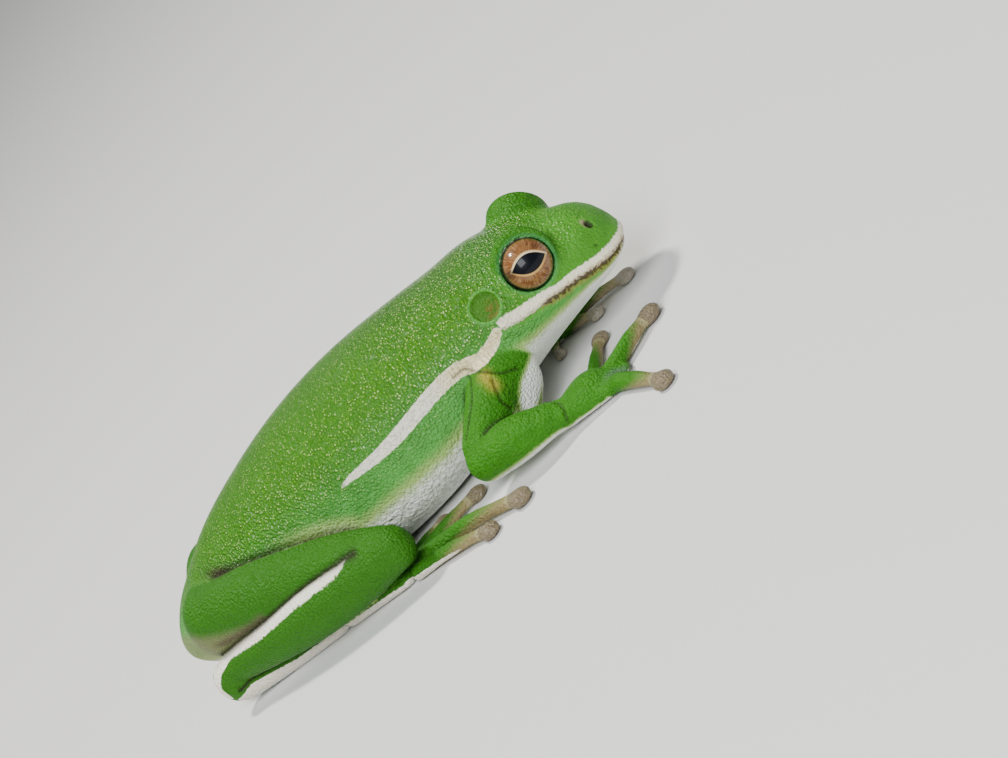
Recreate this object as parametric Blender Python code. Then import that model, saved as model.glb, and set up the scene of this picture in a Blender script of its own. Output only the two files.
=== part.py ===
"""Green tree frog, life size, resting on the floor with its head low and its limbs folded.

The frog faces +X, its right side is at -Y, and the floor is at Z = 0. The origin is on the
floor, under the flat of the belly. Sizes are in millimetres and become metres as each mesh
is made. Body and head are one lofted form parted by thin cuts, so that they share a surface.
Each limb segment is a loft of its own, cut back by its neighbours with the same small gap.
"""
import math

import bmesh
import bpy
import numpy as np
from mathutils import Matrix, Vector

# Driving dimensions, in millimetres
MM = 0.001
GAP = 0.3
SNOUT_X = 28.3
VENT_X = -28.0
SNOUT_ROUND = 2.6
VENT_ROUND = 4.5
NECK_X = 14.6
MOUTH_FRONT = (26.6, 4.15)
MOUTH_CORNER = (16.0, 8.4)
EYE_RADIUS = 2.3
EYE_CENTRE = (21.6, 5.1, 10.3)
EYE_AXIS = (0.26, 0.93, 0.26)
LID_THICKNESS = 0.5
LID_RIM_OUT = 0.45
EAR_CENTRE = (16.9, 10.95)
EAR_RADIUS = 1.3
NOSTRIL_CENTRE = (27.05, 2.0)
LIP_RADIUS = 0.3
LIP_INSET = 0.2
LIP_GAP = 0.1
LID_OPENING = (9.0, 9.0, 6.0)
EAR_RIM_OUT = 0.45
EAR_RIM_RADIUS = 0.34
EAR_RECESS_DEPTH = 1.0
EAR_DRUM_HEIGHT = 0.6
NOSTRIL_MOUND = (0.75, 0.65, 0.6)
NOSTRIL_MOUND_SINK = (0.25, 0.0, 0.25)
NOSTRIL_HOLE = (0.36, 0.26, 0.55)
NOSTRIL_HOLE_RISE = (0.1, 0.15, 0.15)
DISC_LENGTH_SHARE = 1.05
DISC_HEIGHT_SHARE = 0.62
DISC_SUNK = 0.12
SHAFT_SWELL = (1.2, 0.98, 0.9)

# How finely the pieces are drawn, and how large the cutters are
BODY_SIDES = 32
LIMB_SIDES = 11
LIMB_RINGS = 8
TORSO_RINGS = 20
HEAD_RINGS = 10
BALL_SIDES = (16, 10)
SMALL_BALL_SIDES = (12, 8)
DISC_SIDES = (10, 6)
NOSTRIL_SIDES = (8, 6)
EAR_RIM_POINTS = 14
LIP_POINTS = 9
DIGIT_POINTS = 5
SNOUT_ANGLES = (20, 38, 54, 68, 80)
VENT_ANGLES = (78, 62, 45, 30, 15)
LIMB_END_ANGLES = (28, 58)
END_POWER = 2.2
END_LEVEL_SHARE = 0.4
SHARP_ANGLE = 40
WELD = 0.00001
CUTTER_REACH = 60.0
FLOOR_DEPTH = 12.0

# Body stations: x, height of the back, height of the underside, half width, height of the
# widest level, and how square the upper and the lower half of the section are
BODY = (
    (-28.0, 8.6, 3.6, 3.6, 6.0, 2.0, 2.0),
    (-24.0, 10.35, 2.2, 4.9, 6.3, 2.1, 2.1),
    (-19.0, 12.7, 0.6, 6.4, 6.6, 2.1, 2.2),
    (-12.0, 14.6, -0.15, 8.1, 7.0, 2.1, 2.5),
    (-5.0, 15.6, -0.15, 9.2, 7.3, 2.1, 2.6),
    (2.0, 15.65, -0.15, 9.4, 7.5, 2.1, 2.6),
    (8.0, 15.0, 0.5, 8.8, 7.8, 2.1, 2.4),
    (13.0, 14.2, 1.75, 8.05, 8.1, 2.2, 2.3),
    (17.0, 13.7, 2.45, 7.7, 8.1, 2.3, 2.2),
    (21.0, 12.5, 2.85, 6.6, 7.2, 2.4, 2.1),
    (24.5, 10.9, 3.2, 5.1, 5.8, 2.5, 2.1),
    (28.3, 8.8, 3.75, 3.0, 5.0, 2.5, 2.2),
)

# Limb stations on the right side: x, distance from the midline, z, half width, half height
THIGH = (
    (-21.8, 4.6, 7.6, 2.8, 3.5),
    (-16.5, 7.1, 7.1, 3.0, 3.35),
    (-11.0, 9.3, 6.1, 2.7, 2.7),
    (-6.5, 11.5, 5.1, 2.3, 2.2),
    (-3.9, 12.9, 4.5, 1.9, 1.8),
)
SHANK = (
    (-3.0, 13.7, 3.9, 1.9, 2.1),
    (-8.0, 12.3, 3.9, 2.35, 2.6),
    (-13.0, 10.8, 3.95, 2.35, 2.65),
    (-18.5, 8.8, 4.0, 1.95, 2.2),
    (-23.6, 6.7, 4.0, 1.4, 1.5),
)
TARSUS = (
    (-24.0, 6.0, 1.7, 1.25, 1.35),
    (-18.5, 7.5, 1.25, 1.3, 1.3),
    (-13.4, 9.2, 1.1, 1.3, 1.2),
)
FOOT = (
    (-11.6, 9.8, 0.95, 1.35, 1.0),
    (-8.0, 10.8, 0.8, 1.7, 0.9),
    (-4.6, 11.8, 0.7, 2.0, 0.8),
)
HEEL = (-25.0, 6.2, 3.0)
HEEL_SIZE = (1.7, 1.55, 2.15)
UPPER_ARM = (
    (13.5, 6.6, 6.3, 2.3, 2.5),
    (11.3, 9.4, 5.2, 2.2, 2.35),
    (8.8, 12.0, 3.9, 1.85, 1.95),
)
RIGHT_FOREARM = (
    (8.4, 12.9, 3.15, 1.9, 1.95),
    (11.5, 13.6, 2.9, 2.1, 2.0),
    (14.7, 13.8, 2.1, 1.55, 1.45),
)
LEFT_FOREARM = (
    (8.0, 12.4, 3.15, 1.9, 1.95),
    (10.0, 10.3, 2.6, 1.85, 1.8),
    (12.0, 8.0, 1.8, 1.4, 1.35),
)
RIGHT_HAND = (
    (16.3, 13.8, 1.45, 1.55, 1.2),
    (18.4, 13.6, 1.05, 2.1, 1.05),
    (20.5, 13.8, 0.8, 2.3, 0.9),
)
LEFT_HAND = (
    (12.7, 7.0, 1.2, 1.2, 1.0),
    (14.6, 5.7, 0.9, 1.6, 0.9),
    (16.2, 4.8, 0.75, 1.8, 0.8),
)

# Digits: points along the middle from base to tip as x, distance from the midline and z,
# the radius of the shaft and the radius of the disc at the tip
RIGHT_FINGERS = (
    (((16.9, 12.0, 0.7), (16.2, 10.2, 0.6), (15.9, 8.4, 0.5)), 0.5, 0.75),
    (((18.9, 11.6, 0.75), (19.8, 7.9, 0.85), (20.3, 4.1, 0.55)), 0.58, 0.95),
    (((21.6, 12.4, 0.8), (23.9, 10.6, 0.95), (26.0, 8.7, 0.65)), 0.72, 1.15),
    (((21.5, 15.4, 0.8), (23.6, 18.4, 0.9), (26.0, 22.0, 0.62)), 0.7, 1.05),
)
LEFT_FINGERS = (
    (((14.9, 3.9, 0.65), (15.3, 2.4, 0.55), (15.6, 0.9, 0.45)), 0.42, 0.65),
    (((17.0, 3.6, 0.65), (18.6, 2.6, 0.75), (20.4, 1.6, 0.5)), 0.48, 0.85),
    (((17.7, 4.6, 0.7), (21.0, 3.8, 0.85), (24.3, 3.0, 0.55)), 0.52, 0.95),
    (((17.3, 6.2, 0.7), (19.6, 7.6, 0.85), (22.4, 9.6, 0.55)), 0.55, 0.95),
)
TOES = (
    (((-6.2, 9.4, 0.65), (-5.2, 8.7, 0.55), (-4.1, 8.0, 0.45)), 0.45, 0.65),
    (((-3.6, 10.0, 0.65), (-1.9, 9.1, 0.6), (-0.1, 8.3, 0.5)), 0.5, 0.75),
    (((-2.4, 11.2, 0.65), (0.8, 10.6, 0.8), (4.2, 9.6, 0.6)), 0.6, 0.95),
    (((-2.2, 12.3, 0.7), (3.4, 14.6, 0.95), (9.2, 18.0, 0.65)), 0.72, 1.1),
    (((-3.2, 13.6, 0.65), (1.2, 15.8, 0.8), (5.3, 18.3, 0.6)), 0.62, 1.0),
)

# Colours of the pieces, with the roughness of each
GREEN = (0.12, 0.42, 0.03), 0.42
PALE = (0.72, 0.78, 0.50), 0.5
COPPER = (0.62, 0.30, 0.12), 0.15
BROWN = (0.33, 0.24, 0.17), 0.5
EAR_GREEN = (0.16, 0.36, 0.08), 0.4


def clear_scene():
    """Empty the scene, so that only the frog is left when the script ends."""
    for old in list(bpy.data.objects):
        bpy.data.objects.remove(old, do_unlink=True)


def curve_through(places, rows, wanted):
    """Rows read from a smooth curve that passes through the given ones."""
    places = np.asarray(places, float)
    rows = np.asarray(rows, float)
    slopes = np.gradient(rows, places, axis=0)
    low = np.clip(np.searchsorted(places, wanted) - 1, 0, len(places) - 2)
    span = (places[low + 1] - places[low])[:, None]
    t = (np.asarray(wanted, float) - places[low])[:, None] / span
    start = (1 + 2 * t) * (1 - t) ** 2 * rows[low] + t * (1 - t) ** 2 * span * slopes[low]
    end = t * t * (3 - 2 * t) * rows[low + 1] + t * t * (t - 1) * span * slopes[low + 1]
    return start + end


def along(points, count):
    """Evenly spaced rows on a smooth path; the first three columns are the place."""
    points = np.asarray(points, float)
    steps = np.linalg.norm(np.diff(points[:, :3], axis=0), axis=1)
    places = np.concatenate([[0.0], np.cumsum(steps)])
    return curve_through(places, points, np.linspace(0.0, places[-1], count))


def body_section(x):
    """Top, bottom, half width, widest level and two squareness values of the body at x."""
    table = np.asarray(BODY)
    top, bottom, half, level, upper, lower = curve_through(table[:, 0], table[:, 1:], np.array([x]))[0]
    into_snout = max(0.0, (x - SNOUT_X + SNOUT_ROUND) / SNOUT_ROUND)
    into_vent = max(0.0, (VENT_X + VENT_ROUND - x) / VENT_ROUND)
    far = min(1.0, max(into_snout, into_vent))
    shrink = (1.0 - far ** END_POWER) ** (1 / END_POWER)
    middle = level + END_LEVEL_SHARE * (0.5 * (top + bottom) - level) * far
    top = middle + (top - middle) * shrink
    bottom = middle + (bottom - middle) * shrink
    level = middle + (level - middle) * shrink
    return top, bottom, half * shrink, level, upper, lower


def body_half_width(x, z):
    """How far the body's surface is from the midline at x and z."""
    top, bottom, half, level, upper, lower = body_section(x)
    if z >= level:
        reach = (z - level) / (top - level)
        power = upper
    else:
        reach = (level - z) / (level - bottom)
        power = lower
    return half * max(0.0, 1.0 - min(1.0, reach) ** power) ** (1 / power)


def body_normal(x, z):
    """Outward direction of the body's right side at x and z."""
    step = 0.1
    along_x = (body_half_width(x + step, z) - body_half_width(x - step, z)) / (2 * step)
    along_z = (body_half_width(x, z + step) - body_half_width(x, z - step)) / (2 * step)
    return Vector((-along_x, -1.0, -along_z)).normalized()


def make_object(name, points, faces):
    """A closed mesh object from points in millimetres, with its faces pointing out."""
    mesh = bpy.data.meshes.new(name)
    scaled = [tuple(float(value) * MM for value in point) for point in points]
    mesh.from_pydata(scaled, [], faces)
    work = bmesh.new()
    work.from_mesh(mesh)
    bmesh.ops.recalc_face_normals(work, faces=work.faces)
    work.to_mesh(mesh)
    work.free()
    made = bpy.data.objects.new(name, mesh)
    workshop.objects.link(made)
    return made


def skin_rings(name, rings, first, last):
    """Quads between rings of points, closed at each end by a fan round a pole."""
    sides = len(rings[0])
    points = [first] + [point for ring in rings for point in ring] + [last]
    pole = len(points) - 1
    faces = []
    for i in range(sides):
        j = (i + 1) % sides
        faces.append((0, 1 + j, 1 + i))
        base = 1 + (len(rings) - 1) * sides
        faces.append((base + i, base + j, pole))
        for row in range(len(rings) - 1):
            low = 1 + row * sides
            faces.append((low + i, low + j, low + sides + j, low + sides + i))
    return make_object(name, points, faces)


def body_shape(name, grow=0.0):
    """The loft of body and head; grow makes it larger all round."""
    torso_xs = np.linspace(VENT_X + VENT_ROUND, NECK_X, TORSO_RINGS)
    head_xs = np.linspace(NECK_X, SNOUT_X - SNOUT_ROUND, HEAD_RINGS)[1:]
    snout_xs = SNOUT_X - SNOUT_ROUND + SNOUT_ROUND * np.sin(np.radians(SNOUT_ANGLES))
    vent_xs = VENT_X + VENT_ROUND - VENT_ROUND * np.sin(np.radians(VENT_ANGLES))
    rings = []
    for x in np.concatenate([vent_xs, torso_xs, head_xs, snout_xs]):
        top, bottom, half, level, upper, lower = body_section(x)
        stretch = x + grow * (x > SNOUT_X - SNOUT_ROUND) - grow * (x < VENT_X + VENT_ROUND)
        ring = []
        for turn in np.linspace(0.0, 2 * math.pi, BODY_SIDES, endpoint=False):
            across = math.cos(turn)
            rise = math.sin(turn)
            power = upper if rise >= 0 else lower
            height = top - level + grow if rise >= 0 else level - bottom + grow
            y = (half + grow) * math.copysign(abs(across) ** (2 / power), across)
            z = level + height * math.copysign(abs(rise) ** (2 / power), rise)
            ring.append((stretch, y, z))
        rings.append(ring)
    vent_level = body_section(VENT_X)[3]
    snout_level = body_section(SNOUT_X)[3]
    return skin_rings(name, rings, (VENT_X - grow, 0, vent_level), (SNOUT_X + grow, 0, snout_level))


def limb_shape(name, stations, side, grow=0.0):
    """A limb segment: oval sections along a smooth path, with round ends."""
    rows = along(stations, LIMB_RINGS)
    rows[:, 1] *= side
    centres = rows[:, :3]
    heads = np.gradient(centres, axis=0)
    heads /= np.linalg.norm(heads, axis=1)[:, None]
    rings = []

    def add_ring(centre, head, half_side, half_up, scale):
        across = np.cross(head, (0.0, 0.0, 1.0))
        across /= np.linalg.norm(across)
        up = np.cross(across, head)
        turns = np.linspace(0.0, 2 * math.pi, LIMB_SIDES, endpoint=False)
        rings.append([centre + scale * (across * half_side * math.cos(a) + up * half_up * math.sin(a))
                      for a in turns])

    first, last = rows[0], rows[-1]
    first_reach = 0.5 * (first[3] + first[4]) + grow
    last_reach = 0.5 * (last[3] + last[4]) + grow
    for angle in np.radians(LIMB_END_ANGLES):
        centre = centres[0] - heads[0] * first_reach * math.cos(angle)
        add_ring(centre, heads[0], first[3] + grow, first[4] + grow, math.sin(angle))
    for row, head in zip(rows, heads):
        add_ring(row[:3], head, row[3] + grow, row[4] + grow, 1.0)
    for angle in np.radians(LIMB_END_ANGLES[::-1]):
        centre = centres[-1] + heads[-1] * last_reach * math.cos(angle)
        add_ring(centre, heads[-1], last[3] + grow, last[4] + grow, math.sin(angle))
    start = centres[0] - heads[0] * first_reach
    end = centres[-1] + heads[-1] * last_reach
    return skin_rings(name, rings, start, end)


def ball(name, centre, radii, sides, axis=None):
    """A sphere or an oval body; with an axis, its local Z points that way."""
    mesh = bpy.data.meshes.new(name)
    work = bmesh.new()
    bmesh.ops.create_uvsphere(work, u_segments=sides[0], v_segments=sides[1], radius=1.0)
    turn = Matrix.Identity(4)
    if axis is not None:
        turn = Vector((0, 0, 1)).rotation_difference(Vector(axis)).to_matrix().to_4x4()
    size = Matrix.Diagonal((radii[0] * MM, radii[1] * MM, radii[2] * MM, 1.0))
    place = Matrix.Translation(Vector(centre) * MM)
    bmesh.ops.transform(work, matrix=place @ turn @ size, verts=work.verts)
    work.to_mesh(mesh)
    work.free()
    made = bpy.data.objects.new(name, mesh)
    workshop.objects.link(made)
    return made


def block(name, centre, size, turn=None):
    """A box used to cut; size is its full length each way."""
    mesh = bpy.data.meshes.new(name)
    work = bmesh.new()
    bmesh.ops.create_cube(work, size=1.0)
    scale = Matrix.Diagonal((size[0] * MM, size[1] * MM, size[2] * MM, 1.0))
    place = Matrix.Translation(Vector(centre) * MM)
    bmesh.ops.transform(work, matrix=place @ (turn or Matrix.Identity(4)) @ scale, verts=work.verts)
    work.to_mesh(mesh)
    work.free()
    made = bpy.data.objects.new(name, mesh)
    workshop.objects.link(made)
    made.hide_render = True
    made.display_type = "WIRE"
    return made


def rod(name, points, radii, closed=False):
    """A round bar along the points, made a mesh with its caps welded."""
    curve = bpy.data.curves.new(name, "CURVE")
    curve.dimensions = "3D"
    curve.bevel_depth = MM
    curve.bevel_resolution = 1
    curve.use_fill_caps = not closed
    spline = curve.splines.new("POLY")
    spline.points.add(len(points) - 1)
    spline.use_cyclic_u = closed
    for knot, point, radius in zip(spline.points, points, radii):
        knot.co = (point[0] * MM, point[1] * MM, point[2] * MM, 1.0)
        knot.radius = radius
    drawn = bpy.data.objects.new(name, curve)
    workshop.objects.link(drawn)
    graph = bpy.context.evaluated_depsgraph_get()
    mesh = bpy.data.meshes.new_from_object(drawn.evaluated_get(graph))
    bpy.data.objects.remove(drawn, do_unlink=True)
    work = bmesh.new()
    work.from_mesh(mesh)
    bmesh.ops.remove_doubles(work, verts=work.verts, dist=WELD)
    bmesh.ops.recalc_face_normals(work, faces=work.faces)
    work.to_mesh(mesh)
    work.free()
    made = bpy.data.objects.new(name, mesh)
    workshop.objects.link(made)
    return made


def keep_largest(target):
    """Leave only the largest closed surface of a mesh, in triangles."""
    work = bmesh.new()
    work.from_mesh(target.data)
    bmesh.ops.triangulate(work, faces=work.faces)
    left = set(work.faces)
    pieces = []
    while left:
        seed = left.pop()
        piece = {seed}
        border = [seed]
        while border:
            face = border.pop()
            for edge in face.edges:
                for other in edge.link_faces:
                    if other in left:
                        left.remove(other)
                        piece.add(other)
                        border.append(other)
        pieces.append(piece)

    def volume(piece):
        return sum(face.verts[0].co.dot(face.verts[1].co.cross(face.verts[2].co)) for face in piece)

    pieces.sort(key=volume)
    scraps = [face for piece in pieces[:-1] for face in piece]
    bmesh.ops.delete(work, geom=scraps, context="FACES")
    work.to_mesh(target.data)
    work.free()


def combine(target, others, operation):
    """One Boolean between an object and a group of others, applied, with the group removed."""
    group = bpy.data.collections.new("group")
    bpy.context.scene.collection.children.link(group)
    for other in others:
        workshop.objects.unlink(other)
        group.objects.link(other)
    boolean = target.modifiers.new("combine", "BOOLEAN")
    boolean.operation = operation
    boolean.operand_type = "COLLECTION"
    boolean.collection = group
    boolean.solver = "EXACT"
    graph = bpy.context.evaluated_depsgraph_get()
    result = bpy.data.meshes.new_from_object(target.evaluated_get(graph))
    target.modifiers.clear()
    target.data = result
    for other in others:
        bpy.data.objects.remove(other, do_unlink=True)
    bpy.data.collections.remove(group)
    keep_largest(target)


def floor_block():
    """The floor, as a cutter that leaves small flats at Z = 0."""
    return block("floor", (0.0, 0.0, -FLOOR_DEPTH / 2), (2 * CUTTER_REACH, 2 * CUTTER_REACH, FLOOR_DEPTH))


def finish(target, name, look):
    """Name a piece, give it its material and move it into the frog's collection."""
    colour, roughness = look
    target.name = name
    target.data.name = name
    material = bpy.data.materials.new(name)
    material.use_nodes = True
    shader = material.node_tree.nodes["Principled BSDF"]
    shader.inputs["Base Color"].default_value = (*colour, 1.0)
    shader.inputs["Roughness"].default_value = roughness
    shader.inputs["Metallic"].default_value = 0.0
    target.data.materials.clear()
    target.data.materials.append(material)
    target.data.shade_smooth()
    target.data.set_sharp_from_angle(angle=math.radians(SHARP_ANGLE))
    workshop.objects.unlink(target)
    frog.objects.link(target)


def mouth_height(x):
    """Height of the line of the mouth at x."""
    slope = (MOUTH_CORNER[1] - MOUTH_FRONT[1]) / (MOUTH_CORNER[0] - MOUTH_FRONT[0])
    return MOUTH_FRONT[1] + slope * (x - MOUTH_FRONT[0])


def lip_beads():
    """The upper and the lower lip: slim beads round the snout beside the line of the mouth."""
    beads = []
    for shift in (LIP_RADIUS + LIP_GAP, -LIP_RADIUS - LIP_GAP):
        front = SNOUT_X - 0.1
        while body_half_width(front, mouth_height(front) + shift) <= 2 * LIP_INSET:
            front -= 0.05
        right = []
        for x in NECK_X + (front - NECK_X) * np.sin(np.linspace(0.03, 1.4, LIP_POINTS)):
            z = mouth_height(x) + shift
            right.append((x, LIP_INSET - body_half_width(x, z), z))
        left = [(x, -y, z) for x, y, z in reversed(right)]
        points = right + [(front, 0.0, mouth_height(front) + shift)] + left
        beads.append(rod("lip", points, [LIP_RADIUS] * len(points)))
    return beads


def side_axis(axis, side):
    """A direction given for the left side, turned to the wanted side."""
    return Vector((axis[0], side * axis[1], axis[2])).normalized()


def head_and_jaw():
    """Upper head and lower jaw, parted by the slit of the mouth, with lids, ears and nostrils."""
    slope = math.atan2(MOUTH_CORNER[1] - MOUTH_FRONT[1], MOUTH_FRONT[0] - MOUTH_CORNER[0])
    turn = Matrix.Rotation(slope, 4, "Y")
    along_mouth = Vector((math.cos(slope), 0.0, -math.sin(slope)))
    upward = Vector((math.sin(slope), 0.0, math.cos(slope)))
    middle = Vector((MOUTH_CORNER[0], 0.0, MOUTH_CORNER[1])) + along_mouth * (SNOUT_X - MOUTH_CORNER[0]) / 2

    def whole_head():
        head = body_shape("head")
        joined = lip_beads()
        holes = []
        for side in (-1, 1):
            eye = Vector((EYE_CENTRE[0], side * EYE_CENTRE[1], EYE_CENTRE[2]))
            axis = side_axis(EYE_AXIS, side)
            lid_radius = EYE_RADIUS + GAP + LID_THICKNESS
            joined.append(ball("lid", eye, (lid_radius,) * 3, BALL_SIDES, axis))
            holes.append(ball("socket", eye, (EYE_RADIUS + GAP,) * 3, BALL_SIDES, axis))
            spin = Vector((0, 0, 1)).rotation_difference(axis).to_matrix().to_4x4()
            opening = eye + axis * (LID_RIM_OUT + LID_OPENING[2] / 2)
            holes.append(block("opening", opening, LID_OPENING, spin))
            ear_x, ear_z = EAR_CENTRE
            ear_y = body_half_width(ear_x, ear_z)
            ear_axis = body_normal(ear_x, ear_z)
            ear_axis.y *= -side
            ear = Vector((ear_x, side * ear_y, ear_z))
            rim = []
            first = ear_axis.orthogonal().normalized()
            second = ear_axis.cross(first)
            for a in np.linspace(0.0, 2 * math.pi, EAR_RIM_POINTS, endpoint=False):
                rim.append(ear + (first * math.cos(a) + second * math.sin(a)) * (EAR_RADIUS + EAR_RIM_OUT))
            joined.append(rod("rim", rim, [EAR_RIM_RADIUS] * len(rim), closed=True))
            recess = (EAR_RADIUS + GAP, EAR_RADIUS + GAP, EAR_RECESS_DEPTH)
            holes.append(ball("recess", ear, recess, BALL_SIDES, ear_axis))
            nose_x, nose_y = NOSTRIL_CENTRE
            nose_z = surface_height(nose_x, nose_y)
            nose = Vector((nose_x, side * nose_y, nose_z))
            joined.append(ball("mound", nose - Vector(NOSTRIL_MOUND_SINK), NOSTRIL_MOUND, DISC_SIDES))
            rise_x, rise_y, rise_z = NOSTRIL_HOLE_RISE
            hole = nose + Vector((rise_x, side * rise_y, rise_z))
            holes.append(ball("nostril", hole, NOSTRIL_HOLE, NOSTRIL_SIDES))
        combine(head, joined, "UNION")
        combine(head, holes, "DIFFERENCE")
        return head

    reach = CUTTER_REACH
    behind = ((NECK_X + GAP / 2 - reach, 0.0, 0.0), (2 * reach, reach, 2 * reach))
    head = whole_head()
    below = middle - upward * (reach / 2 - GAP / 2)
    cutters = [block("below", below, (2 * reach, reach, reach), turn), block("behind", *behind)]
    combine(head, cutters, "DIFFERENCE")
    finish(head, "head", GREEN)
    jaw = whole_head()
    above = middle + upward * (reach / 2 + GAP / 2)
    cutters = [block("above", above, (2 * reach, reach, reach), turn), block("behind", *behind)]
    combine(jaw, cutters, "DIFFERENCE")
    finish(jaw, "lower_jaw", PALE)


def surface_height(x, y):
    """Height of the top surface of the body at x and y."""
    top, bottom, half, level, upper, lower = body_section(x)
    reach = min(1.0, abs(y) / half)
    return level + (top - level) * (1.0 - reach ** upper) ** (1 / upper)


def eyes_and_ears():
    """The two eyeballs and the two drums of the ears, each a piece of its own."""
    for side, label in ((-1, "right"), (1, "left")):
        eye = Vector((EYE_CENTRE[0], side * EYE_CENTRE[1], EYE_CENTRE[2]))
        ball_piece = ball("eye", eye, (EYE_RADIUS,) * 3, BALL_SIDES, side_axis(EYE_AXIS, side))
        finish(ball_piece, "eye_" + label, COPPER)
        ear_x, ear_z = EAR_CENTRE
        ear_axis = body_normal(ear_x, ear_z)
        ear_axis.y *= -side
        ear = Vector((ear_x, side * body_half_width(ear_x, ear_z), ear_z))
        drum = ball("drum", ear, (EAR_RADIUS, EAR_RADIUS, EAR_DRUM_HEIGHT), BALL_SIDES, ear_axis)
        finish(drum, "tympanum_" + label, EAR_GREEN)


def torso():
    """The trunk from the vent to the neck, flat where the belly rests."""
    trunk = body_shape("torso")
    reach = CUTTER_REACH
    ahead = block("ahead", (NECK_X - GAP / 2 + reach, 0.0, 0.0), (2 * reach, reach, 2 * reach))
    combine(trunk, [ahead, floor_block()], "DIFFERENCE")
    finish(trunk, "torso", GREEN)


def digit_rod(name, points, side, shaft):
    """The shaft of a finger or toe, a little thicker at its root."""
    rows = along(points, DIGIT_POINTS)
    rows[:, 1] *= side
    swell = np.interp(np.linspace(0.0, 1.0, DIGIT_POINTS), (0.0, 0.5, 1.0), SHAFT_SWELL)
    return rod(name, rows, shaft * swell), rows


def digits(name, table, side, label, carriers):
    """Fingers or toes with their round discs, each cut clear of its neighbours and flat below."""
    for number, (points, shaft, disc) in enumerate(table, start=1):
        shape, rows = digit_rod(name, points, side, shaft)
        heading = rows[-1] - rows[-2]
        turn = Matrix.Rotation(math.atan2(heading[1], heading[0]), 4, "Z")
        thickness = DISC_HEIGHT_SHARE * disc
        centre = Vector((rows[-1][0], rows[-1][1], thickness - DISC_SUNK))
        pad = ball("disc", (0, 0, 0), (disc * DISC_LENGTH_SHARE, disc, thickness), DISC_SIDES)
        pad.data.transform(Matrix.Translation(centre * MM) @ turn)
        combine(shape, [pad], "UNION")
        nearby = carriers() + [floor_block()]
        if number > 1:
            earlier_points, earlier_shaft, _ = table[number - 2]
            nearby.append(digit_rod("near", earlier_points, side, earlier_shaft + GAP)[0])
        combine(shape, nearby, "DIFFERENCE")
        finish(shape, "%s_%d_%s" % (name, number, label), BROWN)


def hind_limb(side, label):
    """Thigh, shank, tarsus, foot and five toes of one side, folded along the flank."""
    def near_body():
        return body_shape("near", GAP)

    def near_limb(stations):
        return limb_shape("near", stations, side, GAP)

    def near_heel():
        size = [value + GAP for value in HEEL_SIZE]
        return ball("near", (HEEL[0], side * HEEL[1], HEEL[2]), size, SMALL_BALL_SIDES)

    thigh = limb_shape("thigh", THIGH, side)
    combine(thigh, [near_body(), near_limb(SHANK)], "DIFFERENCE")
    finish(thigh, "thigh_" + label, GREEN)
    shank = limb_shape("shank", SHANK, side)
    combine(shank, [near_body(), near_heel(), near_limb(TARSUS), floor_block()], "DIFFERENCE")
    finish(shank, "shank_" + label, GREEN)
    tarsus = limb_shape("tarsus", TARSUS, side)
    heel = ball("heel", (HEEL[0], side * HEEL[1], HEEL[2]), HEEL_SIZE, SMALL_BALL_SIDES)
    combine(tarsus, [heel], "UNION")
    combine(tarsus, [near_body(), floor_block()], "DIFFERENCE")
    finish(tarsus, "tarsus_" + label, GREEN)
    foot = limb_shape("foot", FOOT, side)
    nearby = [near_body(), near_limb(SHANK), near_limb(TARSUS), floor_block()]
    combine(foot, nearby, "DIFFERENCE")
    finish(foot, "foot_" + label, GREEN)

    def carriers():
        return [near_limb(FOOT), near_body(), near_limb(SHANK), near_limb(TARSUS)]

    digits("toe", TOES, side, label, carriers)


def fore_limb(side, label, forearm_stations, hand_stations, fingers):
    """Upper arm, forearm, hand and four fingers of one side."""
    def near_body():
        return body_shape("near", GAP)

    def near_limb(stations):
        return limb_shape("near", stations, side, GAP)

    upper_arm = limb_shape("upper_arm", UPPER_ARM, side)
    combine(upper_arm, [near_body(), near_limb(forearm_stations)], "DIFFERENCE")
    finish(upper_arm, "upper_arm_" + label, GREEN)
    forearm = limb_shape("forearm", forearm_stations, side)
    combine(forearm, [near_body(), floor_block()], "DIFFERENCE")
    finish(forearm, "forearm_" + label, GREEN)
    hand = limb_shape("hand", hand_stations, side)
    combine(hand, [near_body(), near_limb(forearm_stations), floor_block()], "DIFFERENCE")
    finish(hand, "hand_" + label, GREEN)

    def carriers():
        return [near_limb(hand_stations), near_limb(forearm_stations), near_body()]

    digits("finger", fingers, side, label, carriers)


clear_scene()
frog = bpy.data.collections.new("green_tree_frog")
workshop = bpy.data.collections.new("cutters")
bpy.context.scene.collection.children.link(frog)
bpy.context.scene.collection.children.link(workshop)
torso()
head_and_jaw()
eyes_and_ears()
for leg_side, leg_label in ((-1, "right"), (1, "left")):
    hind_limb(leg_side, leg_label)
fore_limb(-1, "right", RIGHT_FOREARM, RIGHT_HAND, RIGHT_FINGERS)
fore_limb(1, "left", LEFT_FOREARM, LEFT_HAND, LEFT_FINGERS)
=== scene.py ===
import math

import bmesh
import bpy
import numpy as np
from mathutils import Matrix, Vector


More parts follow.
